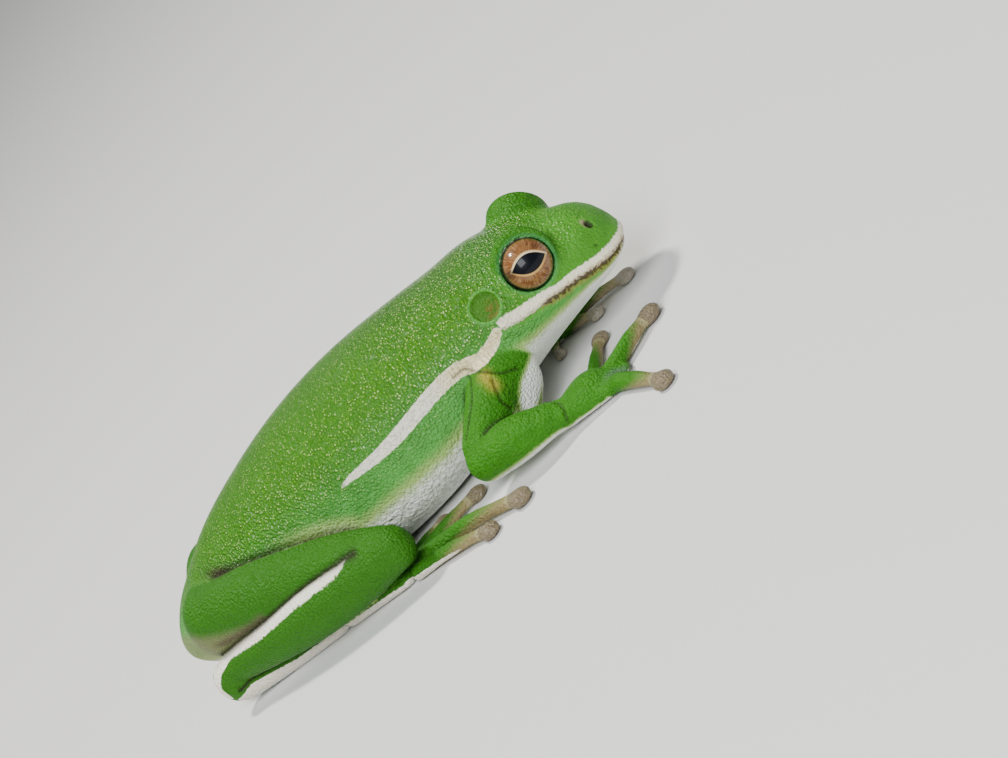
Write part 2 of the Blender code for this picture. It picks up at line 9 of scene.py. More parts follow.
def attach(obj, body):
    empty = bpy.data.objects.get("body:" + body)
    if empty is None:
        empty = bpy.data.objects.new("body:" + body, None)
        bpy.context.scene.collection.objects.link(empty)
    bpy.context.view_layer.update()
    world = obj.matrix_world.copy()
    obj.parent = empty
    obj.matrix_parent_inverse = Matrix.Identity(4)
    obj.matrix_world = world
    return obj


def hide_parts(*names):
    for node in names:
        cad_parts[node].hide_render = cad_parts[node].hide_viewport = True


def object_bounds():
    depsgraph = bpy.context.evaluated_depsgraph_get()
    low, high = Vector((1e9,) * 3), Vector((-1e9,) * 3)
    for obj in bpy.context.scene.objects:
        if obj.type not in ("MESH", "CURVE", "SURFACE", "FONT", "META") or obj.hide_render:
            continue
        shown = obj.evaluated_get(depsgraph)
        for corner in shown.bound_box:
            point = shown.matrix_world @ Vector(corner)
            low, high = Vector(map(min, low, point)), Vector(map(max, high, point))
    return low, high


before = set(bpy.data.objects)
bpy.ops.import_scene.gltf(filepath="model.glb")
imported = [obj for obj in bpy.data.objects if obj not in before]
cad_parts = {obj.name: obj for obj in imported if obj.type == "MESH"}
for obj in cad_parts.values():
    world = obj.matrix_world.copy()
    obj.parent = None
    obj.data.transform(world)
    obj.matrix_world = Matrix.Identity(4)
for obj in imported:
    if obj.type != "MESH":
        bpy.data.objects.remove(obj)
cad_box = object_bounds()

# Camera
# The frog climbs towards the upper right of the picture, so the camera is turned about its
# own axis by the climb. It looks at the frog's right side from a little ahead and above.
MM = 0.001
PICTURE_WIDTH = 1008
PIXELS_PER_MM = 11.2
CAMERA_AZIMUTH = math.radians(17.0)
CAMERA_HEIGHT = math.radians(18.0)
CAMERA_DISTANCE = 300.0
CLIMB = math.radians(45.4)
SENSOR_WIDTH = 36.0
LOOKED_AT = np.array((9.74, 3.53, 1.61))


def placed(right, up, back, place):
    """A placing matrix from three directions and a place in millimetres."""
    rows = np.column_stack([right, up, back, np.multiply(place, MM)])
    return Matrix(rows.tolist() + [[0.0, 0.0, 0.0, 1.0]])


camera_roll = CLIMB + math.atan(math.tan(CAMERA_AZIMUTH) * math.sin(CAMERA_HEIGHT))
level_right = np.array((math.cos(CAMERA_AZIMUTH), math.sin(CAMERA_AZIMUTH), 0.0))
camera_back = np.array((math.sin(CAMERA_AZIMUTH) * math.cos(CAMERA_HEIGHT),
                        -math.cos(CAMERA_AZIMUTH) * math.cos(CAMERA_HEIGHT),
                        math.sin(CAMERA_HEIGHT)))
level_up = np.cross(camera_back, level_right)
camera_right = math.cos(camera_roll) * level_right - math.sin(camera_roll) * level_up
camera_up = math.sin(camera_roll) * level_right + math.cos(camera_roll) * level_up
focal_pixels = PIXELS_PER_MM * CAMERA_DISTANCE

camera_data = bpy.data.cameras.new("camera")
camera_data.sensor_width = SENSOR_WIDTH
camera_data.lens = focal_pixels / PICTURE_WIDTH * SENSOR_WIDTH
camera_data.clip_start = 0.01
camera = bpy.data.objects.new("camera", camera_data)
bpy.context.scene.collection.objects.link(camera)
camera.matrix_world = placed(
    camera_right, camera_up, camera_back, LOOKED_AT + camera_back * CAMERA_DISTANCE)
bpy.context.scene.camera = camera

# Trunk and head
# The stout body is one smooth form of flesh from the vent to the snout. It is drawn as oval
# sections: x, height of the back, height of the underside, half width, height of the widest
# level, and how square the upper and the lower half are.
SNOUT_X = 28.3
VENT_X = -28.0
SNOUT_ROUND = 2.6
VENT_ROUND = 4.5
END_POWER = 2.2
END_CENTRING = 0.4
BODY = (
    (-28.0, 8.6, 3.6, 3.6, 6.0, 2.0, 2.0),
    (-24.0, 10.35, 2.2, 4.9, 6.3, 2.1, 2.1),
    (-19.0, 12.7, 0.6, 6.4, 6.6, 2.1, 2.2),
    (-12.0, 14.6, -0.15, 8.1, 7.0, 2.1, 2.5),
    (-5.0, 15.6, -0.15, 9.2, 7.3, 2.1, 2.6),
    (2.0, 15.65, -0.15, 9.4, 7.5, 2.1, 2.6),
    (8.0, 15.0, 0.5, 8.8, 7.8, 2.1, 2.4),
    (13.0, 14.2, 1.75, 8.05, 8.1, 2.2, 2.3),
    (17.0, 13.7, 2.45, 7.7, 8.1, 2.3, 2.2),
    (21.0, 12.4, 2.85, 6.6, 7.2, 2.25, 2.1),
    (24.5, 10.7, 3.2, 5.1, 5.8, 2.25, 2.1),
    (28.3, 8.75, 3.75, 3.0, 5.0, 2.4, 2.2),
)


def curve_through(places, rows, wanted):
    """Rows read from a smooth curve that passes through the given ones."""
    places = np.asarray(places, float)
    rows = np.asarray(rows, float)
    slopes = np.gradient(rows, places, axis=0)
    low = np.clip(np.searchsorted(places, wanted) - 1, 0, len(places) - 2)
    span = (places[low + 1] - places[low])[:, None]
    t = (np.asarray(wanted, float) - places[low])[:, None] / span
    start = (1 + 2 * t) * (1 - t) ** 2 * rows[low] + t * (1 - t) ** 2 * span * slopes[low]
    end = t * t * (3 - 2 * t) * rows[low + 1] + t * t * (t - 1) * span * slopes[low + 1]
    return start + end


def run_along(points):
    """How far along a bent line each of its points lies."""
    steps = np.linalg.norm(np.diff(points[:, :3], axis=0), axis=1)
    return np.concatenate([[0.0], np.cumsum(steps)])


def along(points, count):
    """Evenly spaced rows on a smooth path; the first three columns are the place."""
    points = np.asarray(points, float)
    run = run_along(points)
    return curve_through(run, points, np.linspace(0.0, run[-1], count))


def sampled_sections(count=500):
    """The body's sections at many x, rounded off at snout and vent."""
    xs = np.linspace(VENT_X, SNOUT_X, count)
    table = np.asarray(BODY)
    top, bottom, half, level, upper, lower = curve_through(table[:, 0], table[:, 1:], xs).T
    into_snout = (xs - SNOUT_X + SNOUT_ROUND) / SNOUT_ROUND
    into_vent = (VENT_X + VENT_ROUND - xs) / VENT_ROUND
    far = np.clip(np.maximum(into_snout, into_vent), 0.0, 0.9995)
    shrink = (1.0 - far ** END_POWER) ** (1 / END_POWER)
    middle = level + END_CENTRING * (0.5 * (top + bottom) - level) * far
    top, bottom, level = (middle + (height - middle) * shrink for height in (top, bottom, level))
    return xs, (top, bottom, half * shrink, level, upper, lower)


section_xs, section_columns = sampled_sections()


def outside_oval(length, reach):
    """How far points are outside an oval, from their distance and their share of its radius."""
    return length * (1.0 - 1.0 / np.maximum(reach, 0.02))


def trunk_distance(points):
    """Roughly how far points are outside the trunk and head, in millimetres."""
    x = points[:, 0]
    top, bottom, half, level, upper, lower = (np.interp(x, section_xs, c) for c in section_columns)
    above = points[:, 2] >= level
    height = np.where(above, top - level, level - bottom) + 0.001
    power = np.where(above, upper, lower)
    rise = points[:, 2] - level
    reach = ((np.abs(points[:, 1]) / half) ** power + (np.abs(rise) / height) ** power) ** (1 / power)
    away = outside_oval(np.hypot(points[:, 1], rise), reach)
    past = np.maximum(np.maximum(x - SNOUT_X, VENT_X - x), 0.0)
    return np.where(past > 0, np.hypot(np.maximum(away, 0.0), past), away)


def smooth_min(a, b, blend):
    """The nearer of two distances, with a fillet where they meet."""
    near = np.maximum(blend - np.abs(a - b), 0.0) / blend
    return np.minimum(a, b) - near * near * blend / 4


def smooth_max(a, b, blend):
    """The farther of two distances, with the edge where they meet rounded."""
    return -smooth_min(-a, -b, blend)


# Limbs
# Each segment is an oval form along a smooth path: x, distance from the midline, z, half
# width and half height. Thigh and shank lie folded along the flank over tarsus and foot,
# and the arms are bent, the right hand spread out and the left one tucked under the chin.
THIGH = (
    (-21.8, 4.6, 7.6, 2.8, 3.5),
    (-16.5, 7.1, 7.1, 3.0, 3.35),
    (-11.0, 9.3, 6.1, 2.7, 2.7),
    (-6.5, 11.5, 5.1, 2.3, 2.2),
    (-3.9, 12.9, 4.5, 1.9, 1.8),
)
SHANK = (
    (-3.0, 13.7, 3.9, 1.9, 2.1),
    (-8.0, 12.3, 3.9, 2.35, 2.6),
    (-13.0, 10.8, 3.95, 2.35, 2.65),
    (-18.5, 8.8, 4.0, 1.95, 2.2),
    (-23.6, 6.7, 4.0, 1.4, 1.5),
)
TARSUS = (
    (-24.0, 6.0, 1.7, 1.25, 1.35),
    (-18.5, 7.5, 1.25, 1.3, 1.3),
    (-13.4, 9.2, 1.1, 1.3, 1.2),
)
FOOT = (
    (-11.6, 9.8, 0.95, 1.35, 1.0),
    (-8.0, 10.8, 0.8, 1.7, 0.9),
    (-4.6, 11.8, 0.7, 2.0, 0.8),
)
UPPER_ARM = (
    (13.5, 6.6, 6.3, 2.3, 2.5),
    (11.3, 9.4, 5.2, 2.2, 2.35),
    (8.8, 12.0, 3.9, 1.85, 1.95),
)
RIGHT_FOREARM = (
    (8.4, 12.9, 3.15, 1.9, 1.95),
    (11.5, 13.6, 2.9, 2.1, 2.0),
    (14.7, 13.8, 2.1, 1.55, 1.45),
)
LEFT_FOREARM = (
    (8.0, 12.4, 3.15, 1.9, 1.95),
    (10.0, 10.3, 2.6, 1.85, 1.8),
    (12.0, 8.0, 1.8, 1.4, 1.35),
)
RIGHT_HAND = (
    (16.3, 13.8, 1.45, 1.55, 1.2),
    (18.4, 13.6, 1.05, 2.1, 1.05),
    (20.5, 13.8, 0.8, 2.3, 0.9),
)
LEFT_HAND = (
    (12.7, 7.0, 1.2, 1.2, 1.0),
    (14.6, 5.7, 0.9, 1.6, 0.9),
    (16.2, 4.8, 0.75, 1.8, 0.8),
)

# Ovals are given as the centre, at its distance from the midline, and the three radii.
HEEL = ((-25.0, 6.2, 3.0), (1.7, 1.55, 2.15))
CHEST_FOLD = ((14.4, 7.4, 4.9), (1.6, 1.2, 2.5))
CHEST_SIDE = ((12.6, 8.0, 2.9), (1.8, 1.6, 1.9))
PALM = ((18.6, 13.4, 1.5), (2.3, 1.9, 1.25))
THIGH_ROOT_FILLET = 1.4
FORM_MARGIN = 0.4
FAR = 1000.0

forms = []


def add_form(name, distance, low, high, blend):
    """One more form of the skin, with the box that it can reach and its fillet."""
    margin = blend + FORM_MARGIN + (THIGH_ROOT_FILLET if name == "thigh" else 0.0)
    forms.append((name, np.min(low, axis=0) - margin, np.max(high, axis=0) + margin, blend, distance))


def add_limb(name, stations, side, blend, count=12):
    """An oval form along a smooth path, with round ends."""
    rows = along(stations, count)
    rows[:, 1] *= side
    heads = np.gradient(rows[:, :3], axis=0)
    heads /= np.linalg.norm(heads, axis=1)[:, None]
    across = np.cross(heads, (0.0, 0.0, 1.0))
    across /= np.linalg.norm(across, axis=1)[:, None]
    ups = np.cross(across, heads)

    def distance(points):
        best = np.full(len(points), FAR)
        for i in range(count - 1):
            start = rows[i, :3]
            stretch = rows[i + 1, :3] - start
            t = np.clip((points - start) @ stretch / (stretch @ stretch), 0.0, 1.0)[:, None]
            away = points - (start + t * stretch)
            size = rows[i, 3:] + t * (rows[i + 1, 3:] - rows[i, 3:])
            side_part = away @ across[i] / size[:, 0]
            up_part = away @ ups[i] / size[:, 1]
            head_part = away @ heads[i] / size.mean(axis=1)
            reach = np.sqrt(side_part ** 2 + up_part ** 2 + head_part ** 2)
            best = np.minimum(best, outside_oval(np.linalg.norm(away, axis=1), reach))
        return best

    spread = rows[:, 3:].max()
    add_form(name, distance, rows[:, :3] - spread, rows[:, :3] + spread, blend)


def add_oval(name, centre, radii, side, blend, turn=0.0):
    """An oval lump, turned about the vertical."""
    centre = np.array(centre) * (1, side, 1)
    radii = np.array(radii)
    cosine, sine = math.cos(turn), math.sin(turn)
    spin = np.array(((cosine, sine, 0), (-sine, cosine, 0), (0, 0, 1)))

    def distance(points):
        away = (points - centre) @ spin.T
        return outside_oval(np.linalg.norm(away, axis=1), np.linalg.norm(away / radii, axis=1))

    add_form(name, distance, centre[None] - radii.max(), centre[None] + radii.max(), blend)


for side in (-1, 1):
    add_limb("thigh", THIGH, side, 0.3)
    add_limb("shank", SHANK, side, 0.35)
    add_limb("tarsus", TARSUS, side, 0.35)
    add_oval("heel", *HEEL, side, 0.8)
    add_limb("foot", FOOT, side, 0.5)
    add_limb("upper_arm", UPPER_ARM, side, 0.8)
    add_oval("chest_fold", *CHEST_FOLD, side, 1.5)
    add_oval("chest_side", *CHEST_SIDE, side, 1.3)
for side, forearm, hand in ((-1, RIGHT_FOREARM, RIGHT_HAND), (1, LEFT_FOREARM, LEFT_HAND)):
    add_limb("forearm", forearm, side, 0.35)
    add_limb("hand", hand, side, 0.7)
add_oval("palm", *PALM, -1, 0.7)

# Fingers and toes
# Four fingers and five toes end in round sticky discs. Each is three places on its path, the
# shaft's half width and the disc's radius. A shaft narrows towards the disc, which lies flat
# on the floor, and low webs join the roots of the outer ones.
RIGHT_FINGERS = (
    (((16.9, 12.0, 0.7), (16.2, 10.2, 0.6), (15.9, 8.4, 0.5)), 0.5, 0.75),
    (((18.9, 11.6, 0.75), (19.8, 7.9, 0.85), (20.3, 4.1, 0.55)), 0.58, 0.95),
    (((21.6, 12.4, 0.8), (23.9, 10.6, 0.95), (26.0, 8.7, 0.65)), 0.72, 1.15),
    (((21.5, 15.4, 0.8), (23.6, 18.4, 0.9), (26.0, 22.0, 0.62)), 0.7, 1.05),
)
LEFT_FINGERS = (
    (((14.9, 3.9, 0.65), (15.3, 2.4, 0.55), (15.6, 0.9, 0.45)), 0.42, 0.65),
    (((17.0, 3.6, 0.65), (18.6, 2.6, 0.75), (20.4, 1.6, 0.5)), 0.48, 0.85),
    (((17.7, 4.6, 0.7), (21.0, 3.8, 0.85), (24.3, 3.0, 0.55)), 0.52, 0.95),
    (((17.3, 6.2, 0.7), (19.6, 7.6, 0.85), (22.4, 9.6, 0.55)), 0.55, 0.95),
)
TOES = (
    (((-6.2, 9.4, 0.65), (-5.2, 8.7, 0.55), (-4.1, 8.0, 0.45)), 0.45, 0.65),
    (((-3.6, 10.0, 0.65), (-1.9, 9.1, 0.6), (-0.1, 8.3, 0.5)), 0.5, 0.75),
    (((-2.4, 11.2, 0.65), (0.8, 10.6, 0.8), (4.2, 9.6, 0.6)), 0.6, 0.95),
    (((-2.2, 12.3, 0.7), (3.4, 14.6, 0.95), (9.2, 18.0, 0.65)), 0.72, 1.1),
    (((-3.2, 13.6, 0.65), (1.2, 15.8, 0.8), (5.3, 18.3, 0.6)), 0.62, 1.0),
)
DIGIT_STATIONS = 9
DIGIT_SWELL = ((0.0, 1.25), (0.25, 1.08), (0.5, 1.02), (0.75, 0.82), (1.0, 0.88))
DIGIT_FLATNESS = 0.95
DISC_LENGTH = 1.05
DISC_THICKNESS = 0.62
DISC_SINK = 0.12
HAND_WEB = ((21.9, 13.9, 0.62), (1.1, 1.5, 0.3))
FOOT_WEB = ((-1.6, 12.4, 0.62), (1.9, 1.7, 0.3))

digit_paths = []


def read_at(table, values):
    """A table of pairs read at other values, with straight runs between its rows."""
    return np.interp(values, *np.array(table).T)


def add_digit(points, side, shaft, disc):
    """One finger or toe with its disc."""
    rows = along(points, DIGIT_STATIONS)
    rows[:, 1] *= side
    widths = shaft * read_at(DIGIT_SWELL, np.linspace(0, 1, DIGIT_STATIONS))
    stations = np.column_stack([rows, widths, widths * DIGIT_FLATNESS])
    add_limb("digit", stations, 1, 0.45, DIGIT_STATIONS)
    heading = rows[-1] - rows[-2]
    thickness = DISC_THICKNESS * disc
    centre = (rows[-1][0], rows[-1][1], thickness - DISC_SINK)
    radii = (disc * DISC_LENGTH, disc, thickness)
    add_oval("disc", centre, radii, 1, 0.25, math.atan2(heading[1], heading[0]))
    digit_paths.append((rows, shaft, centre, disc))


for table, sides in ((RIGHT_FINGERS, (-1,)), (LEFT_FINGERS, (1,)), (TOES, (-1, 1))):
    for side in sides:
        for points, shaft, disc in table:
            add_digit(points, side, shaft, disc)
add_oval("web", *HAND_WEB, -1, 0.5)
for side in (-1, 1):
    add_oval("web", *FOOT_WEB, side, 0.5)

# Folds and openings
# Mouth, nostrils, ear drums and the creases where the folded limbs press on each other are
# shallow, so they are moved into the finished skin. The same distances colour it later on, and
# painted shade darkens the nostrils, creases and seams.
EAR_CENTRE = (16.85, 7.05, 11.0)
EAR_RADIUS = 1.32
NOSTRIL = (27.2, 2.4, 8.1)
NOSTRIL_OVAL = (0.9, 0.9, 1.2)
NOSTRIL_PROFILE = ((-0.16, 0.0, 0.75), (0.65, 0.0, 0.36))
MOUTH_CORNER = 15.9
MOUTH_PROFILE = ((0.17, 0.0, 0.15), (-0.10, 0.5, 0.35), (-0.08, -0.4, 0.3))
MOUTH_LINE = ((15.9, 8.8), (16.4, 8.55), (17.9, 7.95), (19.8, 7.35), (21.6, 6.75), (23.9, 5.95),
              (25.4, 5.3), (26.6, 4.85), (28.3, 4.35))
CREASES = (
    # depth, half width, places as x, distance from the midline and z
    (0.22, 0.20, ((10.6, 8.3, 8.9), (11.6, 8.2, 8.8), (12.6, 8.8, 7.8), (13.6, 9.2, 6.6),
                  (14.6, 8.2, 5.6))),
    (0.18, 0.18, ((13.2, 10.0, 7.0), (12.9, 10.7, 6.2), (12.6, 11.2, 5.2), (12.6, 10.9, 4.2))),
    (0.16, 0.16, ((11.6, 8.6, 8.4), (10.9, 10.4, 7.2), (9.6, 11.6, 6.4), (8.3, 12.5, 5.7))),
)
WRIST_CREASE = ((15.5, 12.9, 3.0), (16.4, 13.8, 2.75), (16.6, 14.8, 2.1), (16.0, 15.4, 1.2))
WRIST_PROFILE = ((0.14, 0.0, 0.16), (-0.07, 0.35, 0.2))
GROIN_CREASE = ((-20.5, 3.4, 11.4), (-19.6, 4.0, 11.2), (-15.5, 7.1, 10.0), (-10.0, 10.0, 8.4),
                (-6.5, 11.4, 7.3), (-4.2, 11.6, 6.2))
SEAM_DEPTH = 0.17
SEAM_WIDTH = 0.22
SEAMS = (
    # the two kinds of forms that press on each other, and from which x to which x
    ("thigh", "shank", -40, -4.8),
    ("shank", "tarsus", -40, -10),
    ("upper_arm", "forearm", 9.4, 40),
    ("trunk", "thigh", -19.5, -2.0),
    ("trunk", "upper_arm", 4.0, 12.0),
)


def ramp(low, high, values):
    """A soft step from 0 at one value to 1 at another."""
    t = np.clip((values - low) / (high - low), 0.0, 1.0)
    return t * t * (3 - 2 * t)


def mound(values, width):
    """A soft bump of height 1 about zero."""
    return np.exp(-(values / width) ** 2)


def profile(values, rows):
    """Grooves and ridges across a line. Each row is a depth, a place and a half width."""
    return sum(deep * mound(values - place, width) for deep, place, width in rows)


def away_from(points, place, stretch=1.0):
    """Distance of points from a place, with each axis measured in its own stretch."""
    return np.linalg.norm((points - np.array(place)) / stretch, axis=1)


def path_distance(points, path):
    """Distance of points from a bent line, and how far along the line they lie."""
    path = np.asarray(path, float)
    best = np.full(len(points), FAR)
    best_along = np.zeros(len(points))
    run = 0.0
    for start, stop in zip(path[:-1, :3], path[1:, :3]):
        stretch = stop - start
        length = np.linalg.norm(stretch)
        t = np.clip((points - start) @ stretch / length ** 2, 0.0, 1.0)
        away = np.linalg.norm(points - start - t[:, None] * stretch, axis=1)
        closer = away < best
        best = np.where(closer, away, best)
        best_along = np.where(closer, run + t * length, best_along)
        run += length
    return best, best_along


def kind_distance(points, kind):
    """How far points are outside the nearest form of one kind."""
    return np.min([distance(points) for name, _, _, _, distance in forms if name == kind], axis=0)


def seam(points, first, second, reach=0.9):
    """How far points are past the line where two kinds of forms meet, on the second one's side."""
    nearest = {name: np.full(len(points), FAR) for name in (first, second)}
    if first == "trunk":
        nearest[first] = trunk_distance(points)
    for name, low, high, _, distance in forms:
        near = np.all((points > low) & (points < high), axis=1)
        if name in nearest and near.any():
            nearest[name][near] = np.minimum(nearest[name][near], distance(points[near]))
    both = np.maximum(nearest[first], nearest[second])
    return np.where(both < reach, nearest[first] - nearest[second], FAR)


# Skin
# One moist, elastic skin covers the whole frog. It is cut from the forms above as a net of
# small faces, denser at eyes, ears, mouth and creases, and each point is drawn onto the
# smooth surface.
EYE_CENTRE = np.array((21.6, 5.1, 10.3))
EYE_RADIUS = 2.3
LID_RADIUS = 2.85
LID_SHIFT = np.array((0.0, -0.3, 0.4))
RIM_OUT = 0.45
OPENING_RADIUS = 2.33
EYE_AXIS = np.array((0.26, 0.93, 0.26)) / np.linalg.norm((0.26, 0.93, 0.26))
LID_REACH = 5.0
LID_FILLET = 0.9
LID_EDGE_ROUND = 0.35
OPENING_ROUND = 0.2
RIM_ROUND = 0.25
FLOOR_ROUND = 0.15
NET_STEP = 0.292
NET_MARGIN = 1.0
CREASE_STATIONS = 30
PROBE = 0.03
LONGEST_MOVE = 0.15


def skin_distance(points):
    """How far points are outside the skin, in millimetres."""
    value = trunk_distance(points)
    for name, low, high, blend, distance in forms:
        near = np.all((points > low) & (points < high), axis=1)
        if name == "thigh":
            blend = blend + THIGH_ROOT_FILLET * ramp(-17.5, -22.0, points[near, 0])
        if near.any():
            value[near] = smooth_min(value[near], distance(points[near]), blend)
    for side in (-1, 1):
        away = points - EYE_CENTRE * (1, side, 1)
        radius = np.linalg.norm(away, axis=1)
        near = radius < LID_REACH
        outward = away[near] @ (EYE_AXIS * (1, side, 1))
        from_axis = np.sqrt(np.maximum(radius[near] ** 2 - outward ** 2, 0.0))
        lid_ball = np.linalg.norm(away[near] - LID_SHIFT * (1, side, 1), axis=1) - LID_RADIUS
        lid_ball = smooth_max(lid_ball, outward - RIM_OUT, LID_EDGE_ROUND)
        lid = smooth_min(value[near], lid_ball, LID_FILLET)
        opening = smooth_max(RIM_OUT - outward, from_axis - OPENING_RADIUS, OPENING_ROUND)
        lid = smooth_max(lid, -opening, RIM_ROUND)
        value[near] = smooth_max(lid, EYE_RADIUS + 0.02 - radius[near], 0.12)
    return smooth_max(value, -points[:, 2], FLOOR_ROUND)


def cut_net():
    """Points and quads round the zero of the skin's distance on a regular grid."""
    low = np.array(cad_box[0]) / MM - NET_MARGIN
    high = np.array(cad_box[1]) / MM + NET_MARGIN
    shape = np.ceil((high - low) / NET_STEP).astype(int) + 1
    axes = [low[i] + NET_STEP * np.arange(shape[i]) for i in range(3)]
    values = np.empty(shape)
    for i, x in enumerate(axes[0]):
        layer = np.stack(np.meshgrid([x], axes[1], axes[2], indexing="ij"), -1).reshape(-1, 3)
        values[i] = skin_distance(layer).reshape(shape[1], shape[2])
    inside = values < 0
    corners = [(i, j, k) for i in (0, 1) for j in (0, 1) for k in (0, 1)]
    cells = tuple(shape - 1)

    def corner(grid, at):
        return grid[at[0]:at[0] + cells[0], at[1]:at[1] + cells[1], at[2]:at[2] + cells[2]]

    filled = sum(corner(inside, at).astype(int) for at in corners)
    active = (filled > 0) & (filled < 8)
    index = np.full(cells, -1)
    index[active] = np.arange(active.sum())
    total = np.zeros((active.sum(), 3))
    crossings = np.zeros(active.sum())
    for a in corners:
        for axis in range(3):
            if a[axis]:
                continue
            b = tuple(a[i] + (i == axis) for i in range(3))
            va, vb = corner(values, a)[active], corner(values, b)[active]
            crossed = (va < 0) != (vb < 0)
            t = np.where(crossed, va / np.where(crossed, va - vb, 1.0), 0.0)
            place = np.tile(np.array(a, float), (len(t), 1))
            place[:, axis] += t
            total += np.where(crossed[:, None], place, 0.0)
            crossings += crossed
    points = low + NET_STEP * (np.argwhere(active) + total / crossings[:, None])
    quads = []
    for axis in range(3):
        u, v = (axis + 1) % 3, (axis + 2) % 3
        step = np.eye(3, dtype=int)
        start = inside[tuple(slice(0, -1) if i == axis else slice(None) for i in range(3))]
        stop = inside[tuple(slice(1, None) if i == axis else slice(None) for i in range(3))]
        for sign in (True, False):
            at = np.argwhere((start != stop) & (start == sign))
            ring = [at - step[u] - step[v], at - step[v], at, at - step[u]]
            faces = np.stack([index[tuple(cell.T)] for cell in ring], 1)
            quads.append(faces if sign else faces[:, ::-1])
    return points, np.concatenate(quads)


def skin_normals(points):
    """The skin's outward direction, and how steeply its distance grows."""
    probes = np.array(((1, -1, -1), (-1, -1, 1), (-1, 1, -1), (1, 1, 1))) * PROBE
    slope = sum(np.outer(skin_distance(points + probe), probe) for probe in probes) / (4 * PROBE * PROBE)
    length = np.linalg.norm(slope, axis=1)
    return slope / np.maximum(length, 1e-6)[:, None], length


def draw_onto_skin(points, rounds=3):
    """Move points onto the zero of the skin's distance."""
    for _ in range(rounds):
        normals, length = skin_normals(points)
        move = np.clip(skin_distance(points) / np.maximum(length, 0.3), -LONGEST_MOVE, LONGEST_MOVE)
        points = points - normals * move[:, None]
    return points


def laid_on_skin(points):
    """Places given at the distance from the midline, laid onto the skin of the right side."""
    return draw_onto_skin(np.array(points) * (1, -1, 1), 8) * (1, -1, 1)


creases = [(deep, width, laid_on_skin(along(path, CREASE_STATIONS))) for deep, width, path in CREASES]
wrist_crease = laid_on_skin(along(WRIST_CREASE, CREASE_STATIONS))
net_points, net_quads = cut_net()
net_points = draw_onto_skin(net_points)
skin_mesh = bpy.data.meshes.new("skin")
skin_mesh.from_pydata((net_points * MM).tolist(), [], net_quads.tolist())
work = bmesh.new()
work.from_mesh(skin_mesh)
middles = np.array([face.calc_center_median() for face in work.faces]) / MM
middles[:, 1] = np.abs(middles[:, 1])
mouth_height = read_at(MOUTH_LINE, middles[:, 0])
fine = (middles[:, 0] > 15.5) & (np.abs(middles[:, 2] - mouth_height) < 0.9)
for centre, reach in ((EYE_CENTRE, 3.3), (EAR_CENTRE, 1.9), (NOSTRIL, 1.1)):
    fine |= away_from(middles, centre) < reach
for first, second, low, high in SEAMS:
    in_range = (middles[:, 0] > low) & (middles[:, 0] < high)
    fine |= in_range & (np.abs(seam(middles, first, second)) < 0.4)
for _, _, path in creases:
    fine |= path_distance(middles, path)[0] < 0.5
fine |= path_distance(middles, wrist_crease)[0] < 0.6
fine_edges = {edge for face, wanted in zip(work.faces, fine) if wanted for edge in face.edges}
bmesh.ops.subdivide_edges(work, edges=list(fine_edges), cuts=1, use_grid_fill=True)
work.to_mesh(skin_mesh)
work.free()
places = np.empty(len(skin_mesh.vertices) * 3)
skin_mesh.vertices.foreach_get("co", places)
places = draw_onto_skin(places.reshape(-1, 3) / MM, 2)
skin_out, _ = skin_normals(places)

x, y, z = places.T
mirrored = np.column_stack([x, np.abs(y), z])
off_trunk = ramp(0.15, 0.6, trunk_distance(places))
mouth_z = read_at(MOUTH_LINE, x)
from_mouth = np.where((x > MOUTH_CORNER - 0.2) & (off_trunk < 0.5), z - mouth_z, FAR)
ear_away = away_from(mirrored, EAR_CENTRE)
nostril_away = away_from(mirrored, laid_on_skin([NOSTRIL])[0], NOSTRIL_OVAL)
depth = ramp(MOUTH_CORNER, MOUTH_CORNER + 0.7, x) * profile(from_mouth, MOUTH_PROFILE)
depth += 0.10 * ramp(EAR_RADIUS + 0.1, EAR_RADIUS - 0.2, ear_away)
depth -= (0.12 + 0.16 * ramp(16.2, 17.6, x)) * mound(ear_away - EAR_RADIUS - 0.14, 0.15)
depth += profile(nostril_away, NOSTRIL_PROFILE)
# painted shade in the nostril openings
shade_and_dots = ramp(0.5, 0.36, nostril_away)
# each crease is pressed into the skin, with painted shade along it
for deep, width, path in creases:
    away, _ = path_distance(mirrored, path)
    depth += deep * mound(away, width)
    shade_and_dots = np.maximum(shade_and_dots, 0.8 * mound(away, 0.12))
# the wrist crease, with painted shade along it
wrist_away, _ = path_distance(places * (1, -1, 1), wrist_crease)
depth += profile(wrist_away, WRIST_PROFILE)
shade_and_dots = np.maximum(shade_and_dots, 0.7 * mound(wrist_away, 0.12))
# where forms press on each other, a seam is pressed in with painted shade along it
for first, second, low, high in SEAMS:
    away = seam(places, first, second)
    fade = ramp(low, low + 0.8, x) * ramp(high, high - 0.8, x)
    if second == "upper_arm":
        fade *= ramp(8.4, 6.8, z)
    depth += SEAM_DEPTH * fade * mound(away, SEAM_WIDTH)
    shade_and_dots = np.maximum(shade_and_dots, fade * mound(away, SEAM_WIDTH + 0.02))
places = places - skin_out * depth[:, None]
skin_mesh.vertices.foreach_set("co", (places * MM).ravel())
skin_mesh.shade_smooth()
skin = bpy.data.objects.new("skin", skin_mesh)
bpy.context.scene.collection.objects.link(skin)
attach(skin, "root")
flesh_nodes = [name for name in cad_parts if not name.startswith("eye_")]
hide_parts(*flesh_nodes)

